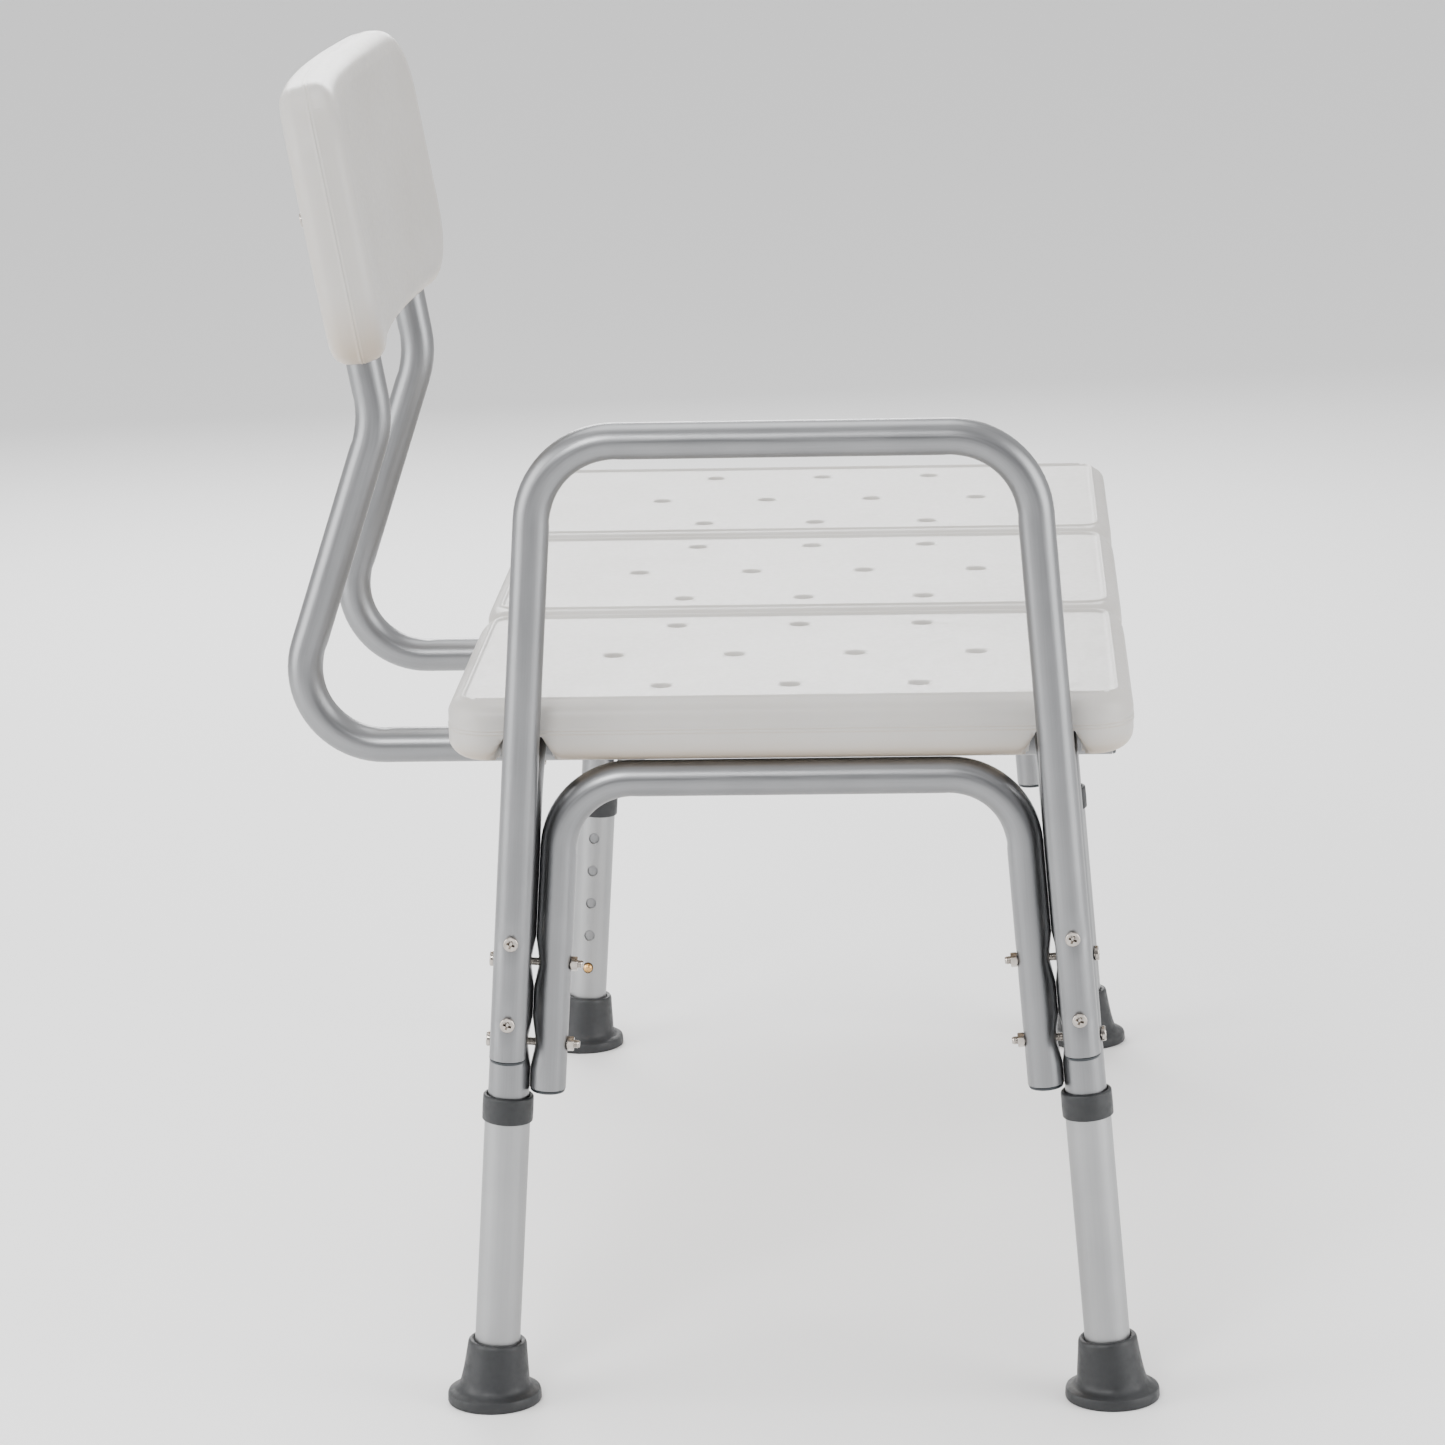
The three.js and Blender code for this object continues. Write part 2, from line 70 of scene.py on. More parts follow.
LEG_RADIUS, LEG_BORE, LEG_BOTTOM, LEG_TOP = 14.0, 12.85, 10.3, 196.0
BACK_X, BACK_HALF, BACK_Y, BACK_Z = -156.5, 128.5, 259.7, 640.0
BACK_TILT = math.atan(0.168)
PANEL_HALF, PANEL_THICK, PANEL_CORNER, PANEL_BOW = (198.0, 86.0), 35.0, 46.0, 0.00038
BACK_LEVEL, BACK_FRONT, BACK_LOW, BACK_KNEE = 396.1, -196.0, 322.1, (253.0, 600.0)
BACK_INSIDE, BACK_SCREW = 104.0, 89.0


def vec(*values):
    return np.array(values, float)


def unit(v):
    v = np.asarray(v, float)
    return v / np.linalg.norm(v)


def leg_point(x, side, along, inward=0.0):
    """A point by its distance along a leg from the floor and inward from the leg's axis."""
    return vec(
        x,
        side * (LEG_Y - along * math.sin(SPLAY) - inward * math.cos(SPLAY)),
        along * math.cos(SPLAY) - inward * math.sin(SPLAY),
    )


def leg_up(side):
    return unit(leg_point(0, side, 1) - leg_point(0, side, 0))


def leg_out(side):
    return vec(0, side * math.cos(SPLAY), math.sin(SPLAY))


def back_point(across, back, up):
    """A point of the backrest: across from its middle, back from its tubes, up its slope."""
    return vec(
        BACK_X + across,
        BACK_Y + back * math.cos(BACK_TILT) + up * math.sin(BACK_TILT),
        BACK_Z - back * math.sin(BACK_TILT) + up * math.cos(BACK_TILT),
    )


# ---- materials ----
class Nodes:
    """A node material with its Principled shader and short ways to add nodes."""

    def __init__(self, name, color, roughness, metallic=0.0):
        self.material = bpy.data.materials.new(name)
        self.material.use_nodes = True
        self.material.diffuse_color = (*color, 1)
        self.tree = self.material.node_tree
        self.shader = self.tree.nodes["Principled BSDF"]
        self.shader.inputs["Base Color"].default_value = (*color, 1)
        self.shader.inputs["Roughness"].default_value = roughness
        self.shader.inputs["Metallic"].default_value = metallic

    def add(self, kind, **settings):
        node = self.tree.nodes.new(kind)
        for key, value in settings.items():
            if hasattr(node, key):
                setattr(node, key, value)
            else:
                node.inputs[key.replace("_", " ")].default_value = value
        return node

    def link(self, output, target):
        self.tree.links.new(output, target)

    def noise(self, vector, scale, detail=3.0, rough=0.5):
        node = self.add("ShaderNodeTexNoise", Scale=scale, Detail=detail, Roughness=rough)
        self.link(vector, node.inputs["Vector"])
        return node.outputs["Fac"]

    def spread(self, value, low, high, start=0.3, stop=0.7):
        """Maps a value from start and stop to low and high."""
        node = self.add("ShaderNodeMapRange")
        for key, number in (("From Min", start), ("From Max", stop), ("To Min", low), ("To Max", high)):
            node.inputs[key].default_value = number
        self.link(value, node.inputs["Value"])
        return node.outputs["Result"]

    def tint(self, value, first, last, under=None):
        """Colours the surface between two colours by a value; under is another tint's colour."""
        node = self.add("ShaderNodeMix", data_type="RGBA")
        if under is None:
            node.inputs[6].default_value = (*first, 1)
        else:
            self.link(under, node.inputs[6])
        node.inputs[7].default_value = (*last, 1)
        self.link(value, node.inputs[0])
        self.link(node.outputs[2], self.shader.inputs["Base Color"])
        return node.outputs[2]

    def bumps(self, *layers):
        """Stacks bump nodes: each layer is a height, a strength and a distance in metres."""
        normal = None
        for height, strength, distance in layers:
            node = self.add("ShaderNodeBump", Strength=strength, Distance=distance)
            self.link(height, node.inputs["Height"])
            if normal is not None:
                self.link(normal, node.inputs["Normal"])
            normal = node.outputs["Normal"]
        self.link(normal, self.shader.inputs["Normal"])


def place_vector(nodes):
    return nodes.add("ShaderNodeTexCoord").outputs["Object"]


def plastic_material():
    """Blow-moulded polyethylene: satin, faintly translucent, with a fine moulded grain, and painted shade
    that makes it darker and warmer where its surface faces down.
    """
    m = Nodes("white_plastic", (0.62, 0.60, 0.575), 0.42)
    place = place_vector(m)
    shader = m.shader.inputs
    shader["Subsurface Weight"].default_value = 0.12
    shader["Subsurface Radius"].default_value = (1.0, 0.75, 0.5)
    shader["Subsurface Scale"].default_value = 0.004
    shader["Specular IOR Level"].default_value = 0.35
    cloudy = m.noise(place, 14.0, 4.0)
    clouded = m.tint(m.spread(cloudy, 0.0, 1.0), (0.430, 0.412, 0.388), (0.465, 0.451, 0.431))
    # Painted shade: the colour turns darker and warmer where the surface's world normal faces down,
    # standing in for the shade under the plastic.
    facing = m.add("ShaderNodeSeparateXYZ")
    m.link(m.add("ShaderNodeNewGeometry").outputs["Normal"], facing.inputs[0])
    painted_under_shade = m.spread(facing.outputs["Z"], 0.0, 1.0, 0.0, -0.85)
    m.tint(painted_under_shade, None, (0.42, 0.350, 0.275), clouded)
    grain = m.noise(place, 1500.0, 2.0, 0.6)
    waves = m.noise(place, 60.0, 2.0)
    m.link(m.spread(m.noise(place, 300.0), 0.30, 0.42), shader["Roughness"])
    m.bumps((waves, 0.12, 0.0006), (grain, 0.30, 0.00012))
    return m.material


def aluminium_material(name, dark, light, rough):
    """Satin anodised tube with faint drawing lines along its length."""
    m = Nodes(name, light, rough, 1.0)
    along = m.add("ShaderNodeAttribute", attribute_name="tube_place").outputs["Vector"]
    place = place_vector(m)
    lines = m.noise(along, 900.0, 2.0, 0.6)
    cloudy = m.noise(place, 25.0, 4.0)
    grain = m.noise(place, 2600.0, 2.0)
    both = m.add("ShaderNodeMath", operation="ADD")
    m.link(m.spread(lines, 0.0, 0.5), both.inputs[0])
    m.link(m.spread(cloudy, 0.0, 0.5), both.inputs[1])
    m.tint(both.outputs[0], dark, light)
    m.link(m.spread(lines, rough - 0.05, rough + 0.06), m.shader.inputs["Roughness"])
    m.bumps((lines, 0.10, 0.00006), (grain, 0.14, 0.00004))
    return m.material


def rubber_material(name, dark, light, rough):
    m = Nodes(name, light, rough)
    place = place_vector(m)
    m.tint(m.spread(m.noise(place, 40.0, 5.0), 0.0, 1.0), dark, light)
    m.link(m.spread(m.noise(place, 220.0), rough - 0.08, rough + 0.1), m.shader.inputs["Roughness"])
    m.bumps((m.noise(place, 1900.0, 3.0), 0.35, 0.00012))
    return m.material


def metal_material(name, dark, light, rough):
    m = Nodes(name, light, rough, 1.0)
    place = place_vector(m)
    m.tint(m.spread(m.noise(place, 260.0, 4.0), 0.0, 1.0), dark, light)
    m.link(m.spread(m.noise(place, 700.0), rough - 0.06, rough + 0.1), m.shader.inputs["Roughness"])
    m.bumps((m.noise(place, 2200.0, 2.0), 0.12, 0.00004))
    return m.material


LOOKS = {
    "white_plastic": plastic_material(),
    "aluminium_tube": aluminium_material(
        "aluminium_tube", (0.215, 0.218, 0.224), (0.265, 0.268, 0.274), 0.36),
    "leg_aluminium": aluminium_material(
        "leg_aluminium", (0.315, 0.318, 0.322), (0.37, 0.373, 0.377), 0.44),
    "grey_rubber": rubber_material("grey_rubber", (0.008, 0.009, 0.010), (0.014, 0.015, 0.017), 0.50),
    "dark_plug": rubber_material("dark_plug", (0.010, 0.014, 0.017), (0.019, 0.025, 0.030), 0.42),
    "nickel_steel": metal_material("nickel_steel", (0.34, 0.31, 0.28), (0.50, 0.46, 0.42), 0.15),
    "brass_button": metal_material("brass_button", (0.52, 0.30, 0.11), (0.68, 0.42, 0.17), 0.28),
}


# ---- mesh tools: a shape is its points, its faces and, on tubes, a place along the tube ----
class Shape:
    def __init__(self, points=None, faces=None, places=None):
        self.points = np.zeros((0, 3)) if points is None else np.asarray(points, float)
        self.faces = [] if faces is None else list(faces)
        self.places = places

    def __add__(self, other):
        offset = len(self.points)
        faces = self.faces + [tuple(i + offset for i in face) for face in other.faces]
        return Shape(np.vstack([self.points, other.points]), faces)

    def set_on(self, origin, direction, roll=(0, 0, 1)):
        """Turns local +Z to a direction, with local +X as near to roll as it can be."""
        z = unit(direction)
        x = unit(np.asarray(roll, float) - np.dot(roll, z) * z)
        turn = np.stack([x, np.cross(z, x), z])
        return Shape(self.points @ turn + np.asarray(origin, float), self.faces)


def ring_faces(first, second, count, closed=True):
    """Quads between two rings of points given by their first indices."""
    last = count if closed else count - 1
    return [(first + k, first + (k + 1) % count, second + (k + 1) % count, second + k)
            for k in range(last)]


def lathe(profile, sides=48, closed=False):
    """Turns radius and height pairs round Z. A radius of 0 makes a pole."""
    shape = Shape()
    angles = np.arange(sides) * 2 * math.pi / sides
    starts, points = [], []
    total = 0
    for radius, height in profile:
        starts.append((total, radius > 0))
        if radius > 0:
            points.append(np.stack([radius * np.cos(angles), radius * np.sin(angles),
                                    np.full(sides, height)], 1))
            total += sides
        else:
            points.append(vec(0, 0, height)[None])
            total += 1
    shape.points = np.vstack(points)
    pairs = list(zip(starts, starts[1:] + (starts[:1] if closed else [])))
    for (first, first_ring), (second, second_ring) in pairs:
        if first_ring and second_ring:
            shape.faces += ring_faces(first, second, sides)
        elif first_ring:
            shape.faces += [(first + k, first + (k + 1) % sides, second) for k in range(sides)]
        elif second_ring:
            shape.faces += [(first, second + (k + 1) % sides, second + k) for k in range(sides)]
    return shape


def arc(centre, radius, start, stop, steps):
    """Radius and height pairs on an arc, angles in degrees from the radius direction."""
    angles = np.radians(np.linspace(start, stop, steps + 1))
    return [(max(centre[0] + radius * math.cos(a), 0.0), centre[1] + radius * math.sin(a)) for a in angles]


def to_object(name, shape, material):
    mesh = bpy.data.meshes.new(name)
    mesh.from_pydata((shape.points * MM + SHIFT).tolist(), [], shape.faces)
    obj = bpy.data.objects.new(name, mesh)
    bpy.context.scene.collection.objects.link(obj)
    mesh.materials.append(material)
    if shape.places is not None:
        layer = mesh.attributes.new("tube_place", "FLOAT_VECTOR", "POINT")
        layer.data.foreach_set("vector", (shape.places * MM).astype(np.float32).ravel())
    return obj


def clean(obj, angle=32.0):
    """Points faces outwards and shades smooth, with creases kept sharp."""
    mesh = obj.data
    work = bmesh.new()
    work.from_mesh(mesh)
    bmesh.ops.dissolve_degenerate(work, dist=1e-7, edges=work.edges)
    bmesh.ops.recalc_face_normals(work, faces=work.faces)
    work.to_mesh(mesh)
    work.free()
    mesh.shade_smooth()
    mesh.set_sharp_from_angle(angle=math.radians(angle))
    mesh.update()


def carve(obj, *cutters):
    """Cuts closed shapes out of an object's mesh."""
    tools = []
    for k, shape in enumerate(cutters):
        tool = to_object(f"cutter_{k}", shape, obj.data.materials[0])
        clean(tool)
        modifier = obj.modifiers.new(f"cut_{k}", "BOOLEAN")
        modifier.operation = "DIFFERENCE"
        modifier.solver = "EXACT"
        modifier.object = tool
        tools.append(tool)
    graph = bpy.context.evaluated_depsgraph_get()
    cut = bpy.data.meshes.new_from_object(obj.evaluated_get(graph))
    obj.modifiers.clear()
    old, obj.data = obj.data, cut
    bpy.data.meshes.remove(old)
    for tool in tools:
        mesh = tool.data
        bpy.data.objects.remove(tool)
        bpy.data.meshes.remove(mesh)


def build(node, shape, slot, body="bench_frame", cutters=(), angle=32.0):
    """Makes the fine piece that stands for a CAD node and rides on its body."""
    obj = to_object(f"{node}_fine", shape, LOOKS[slot])
    clean(obj, angle)
    if cutters:
        carve(obj, *cutters)
        clean(obj, angle)
    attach(obj, body)
    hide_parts(node)
    return obj


def smooth_step(value, start, stop):
    t = np.clip((value - start) / (stop - start), 0.0, 1.0)
    return t * t * (3 - 2 * t)


# ---- bent tubes ----
TUBE_SIDES = 48
BEND_STEP = math.radians(5)
FINE_REACH, FINE_STEP = 21.0, 1.5
RIM = 0.35  # how far the end of a tube is rounded


def stations(corners, radii, marks=()):
    """Points and directions along straights and arcs, close together beside the marks."""
    corners = [np.asarray(c, float) for c in corners]
    points, ways, bend_ends = [], [], []
    start = corners[0]
    for i in range(1, len(corners)):
        way = unit(corners[i] - corners[i - 1])
        arc_points = []
        stop = corners[i]
        if i < len(corners) - 1:
            ahead = unit(corners[i + 1] - corners[i])
            turn = math.acos(np.clip(way @ ahead, -1, 1))
            reach = radii[i - 1] * math.tan(turn / 2)
            stop = corners[i] - way * reach
            inner = unit(ahead - way * (way @ ahead))
            centre = stop + inner * radii[i - 1]
            count = max(4, int(turn / BEND_STEP))
            for a in np.linspace(0, turn, count + 1):
                spot = centre - inner * radii[i - 1] * math.cos(a) + way * radii[i - 1] * math.sin(a)
                arc_points.append((spot, way * math.cos(a) + inner * math.sin(a)))
            bend_ends += [(stop, inner), (arc_points[-1][0], unit(centre - arc_points[-1][0]))]
        length = (stop - start) @ way
        along = set(np.round(np.linspace(0, length, max(2, int(length / 60) + 1)), 2))
        for mark in [*marks, start, stop]:
            middle = (np.asarray(mark) - start) @ way
            for s in np.arange(-FINE_REACH, FINE_REACH + 0.1, FINE_STEP):
                if 0.8 < middle + s < length - 0.8:
                    along.add(round(middle + s, 2))
        keep = []
        for s in sorted(along):
            if not keep or s - keep[-1] > 0.5:
                keep.append(s)
        points += [start + way * s for s in keep[:-1]]
        ways += [way] * (len(keep) - 1)
        if arc_points:
            points += [spot for spot, _ in arc_points[:-1]]
            ways += [direction for _, direction in arc_points[:-1]]
            start = arc_points[-1][0]
        else:
            points.append(corners[i])
            ways.append(way)
    return np.array(points), np.array(ways), bend_ends


def tube_shape(corners, radii, radius, marks=(), wall=WALL):
    """A hollow tube: outer skin, softened rims and inner skin, as one closed shell."""
    points, ways, bend_ends = stations(corners, radii, marks)
    side = unit(np.cross(np.asarray(corners[1], float) - corners[0],
                         np.asarray(corners[2], float) - corners[1]))
    angles = np.arange(TUBE_SIDES) * 2 * math.pi / TUBE_SIDES
    distance = np.concatenate([[0], np.cumsum(np.linalg.norm(np.diff(points, axis=0), axis=1))])
    rings = [(k, radius) for k in range(len(points))]
    rings[0] = (0, radius - RIM)
    rings[-1] = (len(points) - 1, radius - RIM)
    inside = [(k, radius - wall) for k in reversed(range(len(points)))]
    first, last = points[0] + ways[0] * RIM, points[-1] - ways[-1] * RIM
    loops, places = [], []

    def add_ring(centre, way, size, along):
        across = np.cross(side, way)
        circle = np.outer(np.cos(angles), across) + np.outer(np.sin(angles), side)
        loops.append(centre + size * circle)
        places.append(np.stack([radius * np.cos(angles), radius * np.sin(angles),
                                np.full(TUBE_SIDES, along * 0.02)], 1))

    for k, size in rings:
        if k == len(points) - 1:
            add_ring(last, ways[-1], radius, distance[-1])
        add_ring(points[k], ways[k], size, distance[k])
        if k == 0:
            add_ring(first, ways[0], radius, 0)
    for k, size in inside:
        add_ring(points[k], ways[k], size, distance[k])
    faces = []
    for k in range(len(loops)):
        faces += ring_faces(k * TUBE_SIDES, (k + 1) % len(loops) * TUBE_SIDES, TUBE_SIDES)
    return Shape(np.vstack(loops), faces, np.vstack(places)), bend_ends


def push(shape, spot, way, depth, reach, sharpness=1.2, spread=1.0, axis=None):
    """Pushes the skin near a spot along a way; the push fades along the tube and round it."""
    offset = shape.points - np.asarray(spot, float)
    if axis is None:
        near = np.clip(1 - np.linalg.norm(offset, axis=1) / reach, 0, 1) ** sharpness
        shape.points += near[:, None] * depth * unit(way)
        return
    along = np.abs(offset @ unit(axis))
    facing = -(offset @ unit(way))
    across = np.linalg.norm(offset - np.outer(offset @ unit(axis), unit(axis)), axis=1) + 1e-6
    around = np.clip(facing / across, 0, 1) ** spread
    near = np.clip(1 - along / reach, 0, 1) ** sharpness * (across < 1.7 * FRAME_RADIUS)
    shape.points += (near * around * depth)[:, None] * unit(way)


def crease(shape, bend_ends, radius):
    """Small puckers on the inner side of the tube where each bend starts and stops."""
    for spot, inner in bend_ends:
        push(shape, spot + inner * radius, -inner, 0.55, 7.0, 2.0)


def leg_frame(side):
    corner = FRAME_TOP / math.cos(SPLAY)
    corners = [leg_point(-LEG_X, side, 45), leg_point(-LEG_X, side, corner),
               leg_point(LEG_X, side, corner), leg_point(LEG_X, side, 45)]
    bolts = [leg_point(end * LEG_X, side, s) for end in ENDS for s in BRACE_BOLTS]
    screws = [leg_point(-LEG_X, side, s) for s in ARM_SCREWS]
    shape, bend_ends = tube_shape(corners, [FRAME_BEND] * 2, FRAME_RADIUS + CLOSE, bolts + screws)
    for bolt in bolts:
        push(shape, bolt, leg_out(side), 2.5, 15.5, 1.0, 1.8, leg_up(side))
        push(shape, bolt, -leg_out(side), 0.5, 10, 1.5, 3.0, leg_up(side))
    for screw in screws:
        push(shape, screw, (1, 0, 0), 0.9, 13, 1.4, 2.0, leg_up(side))
    crease(shape, bend_ends, FRAME_RADIUS)
    return shape


def button_window(end, side):
    """The hole near the foot of a leg frame that its snap button sticks out of."""
    spot = leg_point(end * LEG_X, side, BUTTON_ALONG)
    bar = lathe([(0, 0), (BUTTON_HOLE, 0), (BUTTON_HOLE, 16), (0, 16)], 24)
    return bar.set_on(spot, (-end, 0, 0))


def end_brace(end):
    x = end * LEG_X
    level = (BRACE_TOP + BRACE_OFFSET * math.sin(SPLAY)) / math.cos(SPLAY)
    corners = [leg_point(x, side, s, BRACE_OFFSET)
               for side, s in ((-1, BRACE_BOTTOM), (-1, level), (1, level), (1, BRACE_BOTTOM))]
    spots = [(side, leg_point(x, side, s, BRACE_OFFSET)) for side in SIDES for s in BRACE_BOLTS]
    shape, bend_ends = tube_shape(corners, [BRACE_BEND] * 2, RAIL_RADIUS + CLOSE, [p for _, p in spots])
    for side, spot in spots:
        push(shape, spot, -leg_out(side), 2.5, 15.5, 1.0, 1.8, leg_up(side))
        push(shape, spot, leg_out(side), 0.5, 10, 1.5, 3.0, leg_up(side))
    crease(shape, bend_ends, RAIL_RADIUS)
    return shape


def side_arm():
    level = ARM_TOP / math.cos(SPLAY)
    corners = [leg_point(ARM_X, side, s)
               for side, s in ((-1, ARM_BOTTOM), (-1, level), (1, level), (1, ARM_BOTTOM))]
    spots = [(side, leg_point(ARM_X, side, s)) for side in SIDES for s in ARM_SCREWS]
    shape, bend_ends = tube_shape(corners, [ARM_BEND] * 2, RAIL_RADIUS, [p for _, p in spots])
    for side, spot in spots:
        push(shape, spot, (1, 0, 0), 1.1, 15, 1.6, 3.0, leg_up(side))
        push(shape, spot, (-1, 0, 0), 0.9, 13, 1.4, 2.0, leg_up(side))
    crease(shape, bend_ends, RAIL_RADIUS)
    return shape


def backrest_tube(across):
    x = BACK_X + across * BACK_HALF
    corners = [vec(x, BACK_FRONT, BACK_LEVEL), vec(x, BACK_LOW, BACK_LEVEL), vec(x, *BACK_KNEE),
               back_point(across * BACK_HALF, 0, BACK_INSIDE)]
    shape, bend_ends = tube_shape(corners, [48, 60], RAIL_RADIUS)
    crease(shape, bend_ends, RAIL_RADIUS)
    return shape


# ---- panels ----
DRAIN_BORE, DRAIN_MOUTH, DRAIN_REACH = 4.4, 6.7, 8.5


def panel_lines(half, edge_insets, marks, fill):
    """Grid lines across a panel: edge lines, lines near marks and even filling."""
    inner = sorted(set(np.round([m for m in marks if abs(m) < half - edge_insets[-1] - 0.4], 3)))
    edge = [half - inset for inset in edge_insets]
    lines = sorted([-e for e in edge] + inner + edge)
    filled = [lines[0]]
    for line in lines[1:]:
        room = line - filled[-1]
        if room < 0.25:
            continue
        parts = max(1, math.ceil(room / fill))
        last = filled[-1]
        filled += [last + room * k / parts for k in range(1, parts + 1)]
    return np.array(filled)


def panel(xs, ys, half, corner, face, base, rim, holes=()):
    """A closed panel from two facing grids, joined by rim loops and by the walls of holes.

    face and base give heights from x, y and the distance in from the outline. rim is a list of
    outset and height pairs, from the face to the base; each rim height is kept at least 0.15 above the
    base.
    """
    gx, gy = np.meshgrid(xs, ys, indexing="ij")
    inset = np.minimum(half[0] - np.abs(gx), half[1] - np.abs(gy))
    px, py = gx.copy(), gy.copy()
    level = np.full(gx.shape, np.inf)
    for cx, cy in holes:
        u, v = (gx - cx) / DRAIN_REACH, (gy - cy) / DRAIN_REACH
        m = np.maximum(np.abs(u), np.abs(v))
        inside = m <= 1 + 1e-6
        wide = np.abs(u) >= np.abs(v)
        safe_u = np.where(np.abs(u) < 1e-9, 1e-9, u)
        safe_v = np.where(np.abs(v) < 1e-9, 1e-9, v)
        angle = np.where(wide, math.pi / 4 * v / safe_u + math.pi * (u < 0),
                         math.pi / 2 - math.pi / 4 * u / safe_v + math.pi * (v < 0))
        square = smooth_step(m, DRAIN_MOUTH / DRAIN_REACH, 1.0)
        dx = DRAIN_REACH * m * np.cos(angle) * (1 - square) + DRAIN_REACH * u * square
        dy = DRAIN_REACH * m * np.sin(angle) * (1 - square) + DRAIN_REACH * v * square
        px = np.where(inside, cx + dx, px)
        py = np.where(inside, cy + dy, py)
        level = np.where(inside, m * DRAIN_REACH, level)
    core_x = np.clip(px, corner - half[0], half[0] - corner)
    core_y = np.clip(py, corner - half[1], half[1] - corner)
    past_x, past_y = px - core_x, py - core_y
    reach = np.hypot(past_x, past_y)
    pull = np.where(reach > 0, np.maximum(np.abs(past_x), np.abs(past_y)) / np.maximum(reach, 1e-9), 1.0)
    px, py = core_x + past_x * pull, core_y + past_y * pull
    nx, ny = gx.shape
    index = np.arange(nx * ny).reshape(nx, ny)
    count = nx * ny
    points = [np.stack([px, py, face(px, py, inset)], 2).reshape(-1, 3),
              np.stack([px, py, base(px, py, inset)], 2).reshape(-1, 3)]
    open_cell = (np.maximum.reduce([level[:-1, :-1], level[1:, :-1], level[:-1, 1:], level[1:, 1:]])
                 <= DRAIN_BORE + 1e-3)
    solid = ~open_cell
    quads = np.stack([index[:-1, :-1], index[1:, :-1], index[1:, 1:], index[:-1, 1:]], 2)[solid]
    faces = [tuple(q) for q in quads.tolist()]
    faces += [tuple(reversed([i + count for i in q])) for q in quads.tolist()]
    # walls of the holes: every grid edge between an open and a solid cell
    padded = np.zeros((nx + 1, ny + 1), bool)
    padded[1:-1, 1:-1] = open_cell
    for i, j in zip(*np.nonzero(open_cell)):
        for di, dj, a, b in ((-1, 0, (i, j), (i, j + 1)), (1, 0, (i + 1, j + 1), (i + 1, j)),
                             (0, -1, (i + 1, j), (i, j)), (0, 1, (i, j + 1), (i + 1, j + 1))):
            if not padded[i + 1 + di, j + 1 + dj]:
                first, second = int(index[a]), int(index[b])
                faces.append((first, second, second + count, first + count))
    # rim loops round the outline
    loop = [*index[:, 0], *index[-1, 1:], *index[-2::-1, -1], *index[0, -2:0:-1]]
    loop = np.array([int(i) for i in loop])
    outline = points[0][loop][:, :2]
    core = np.stack([np.clip(outline[:, 0], corner - half[0], half[0] - corner),
                     np.clip(outline[:, 1], corner - half[1], half[1] - corner)], 1)
    normal = outline - core
    normal /= np.linalg.norm(normal, axis=1)[:, None]
    size = len(loop)
    base_z = points[1][loop][:, 2]
    start = 2 * count
    previous = loop
    for outset, height in rim:
        z = np.maximum(np.full(size, height), base_z + 0.15)
        points.append(np.column_stack([outline + normal * outset, z]))
        current = np.arange(start, start + size)
        faces += [(int(previous[k]), int(current[k]), int(current[(k + 1) % size]),
                   int(previous[(k + 1) % size])) for k in range(size)]
        previous = current
        start += size
    under = loop + count
    faces += [(int(previous[k]), int(under[k]), int(under[(k + 1) % size]),
               int(previous[(k + 1) % size])) for k in range(size)]
    used = np.unique(np.concatenate([np.array(f) for f in faces]))
    remap = np.full(start, -1)
    remap[used] = np.arange(len(used))
    points = np.vstack(points)[used]
    return Shape(points, [tuple(int(remap[i]) for i in f) for f in faces])


def rounding(inset, radius):
    """How far a rounded edge falls at a distance in from the outline."""
    left = np.clip(radius - inset, 0, radius)
    return radius - np.sqrt(np.maximum(radius * radius - left * left, 0))


def edge_insets(radius, steps=8):
    return [radius * (1 - math.cos(math.pi / 2 * k / steps)) for k in range(steps + 1)]


# ---- seat ----
JOINTS = (-MODULE_PITCH / 2, MODULE_PITCH / 2)
CHANNEL_Y, CHANNEL_ROOF, CHANNEL_HALF = LEG_Y - FRAME_TOP * math.tan(SPLAY), 433.6, 11.6
SEAT_CORNER = 28.0
DRAIN_ROWS, DRAIN_THREES, DRAIN_FOURS = 86.0, 78.5, 75.5
DRAIN_STOPS = (0, 1.5, 3.0, DRAIN_BORE, 4.9, 5.4, 6.0, DRAIN_MOUTH, DRAIN_REACH)
BEAD = {"end": 13.0, "side": 9.5, "round": 12.0, "height": 1.2, "width": 1.3}
SEAT_EDGE_TOP, SEAT_EDGE_LOW = 11.0, 13.0


def drain_places():
    places = []
    for module in (-1, 0, 1):
        for row, count, pitch in ((-1, 3, DRAIN_THREES), (0, 4, DRAIN_FOURS), (1, 3, DRAIN_THREES)):
            places += [(module * MODULE_PITCH + row * DRAIN_ROWS, (i - (count - 1) / 2) * pitch)
                       for i in range(count)]
    return places


def bead_box(module):
    """Middle and half length of a module's bead."""
    low = -MODULE_PITCH / 2 + BEAD["end"] if module > -1 else MODULE_PITCH - SEAT_HALF[0] + BEAD["end"]
    high = MODULE_PITCH / 2 - BEAD["end"] if module < 1 else SEAT_HALF[0] - MODULE_PITCH - BEAD["end"]
    return module * MODULE_PITCH + (low + high) / 2, (high - low) / 2


def bead_distance(x, y, module):
    """Signed distance to a module's bead, a rounded rectangle."""
    middle, half = bead_box(module)
    corner = BEAD["round"]
    qx = np.abs(x - middle) - half + corner
    qy = np.abs(y) - (SEAT_HALF[1] - BEAD["side"]) + corner
    outside = np.hypot(np.maximum(qx, 0), np.maximum(qy, 0))
    return outside + np.minimum(np.maximum(qx, qy), 0) - corner


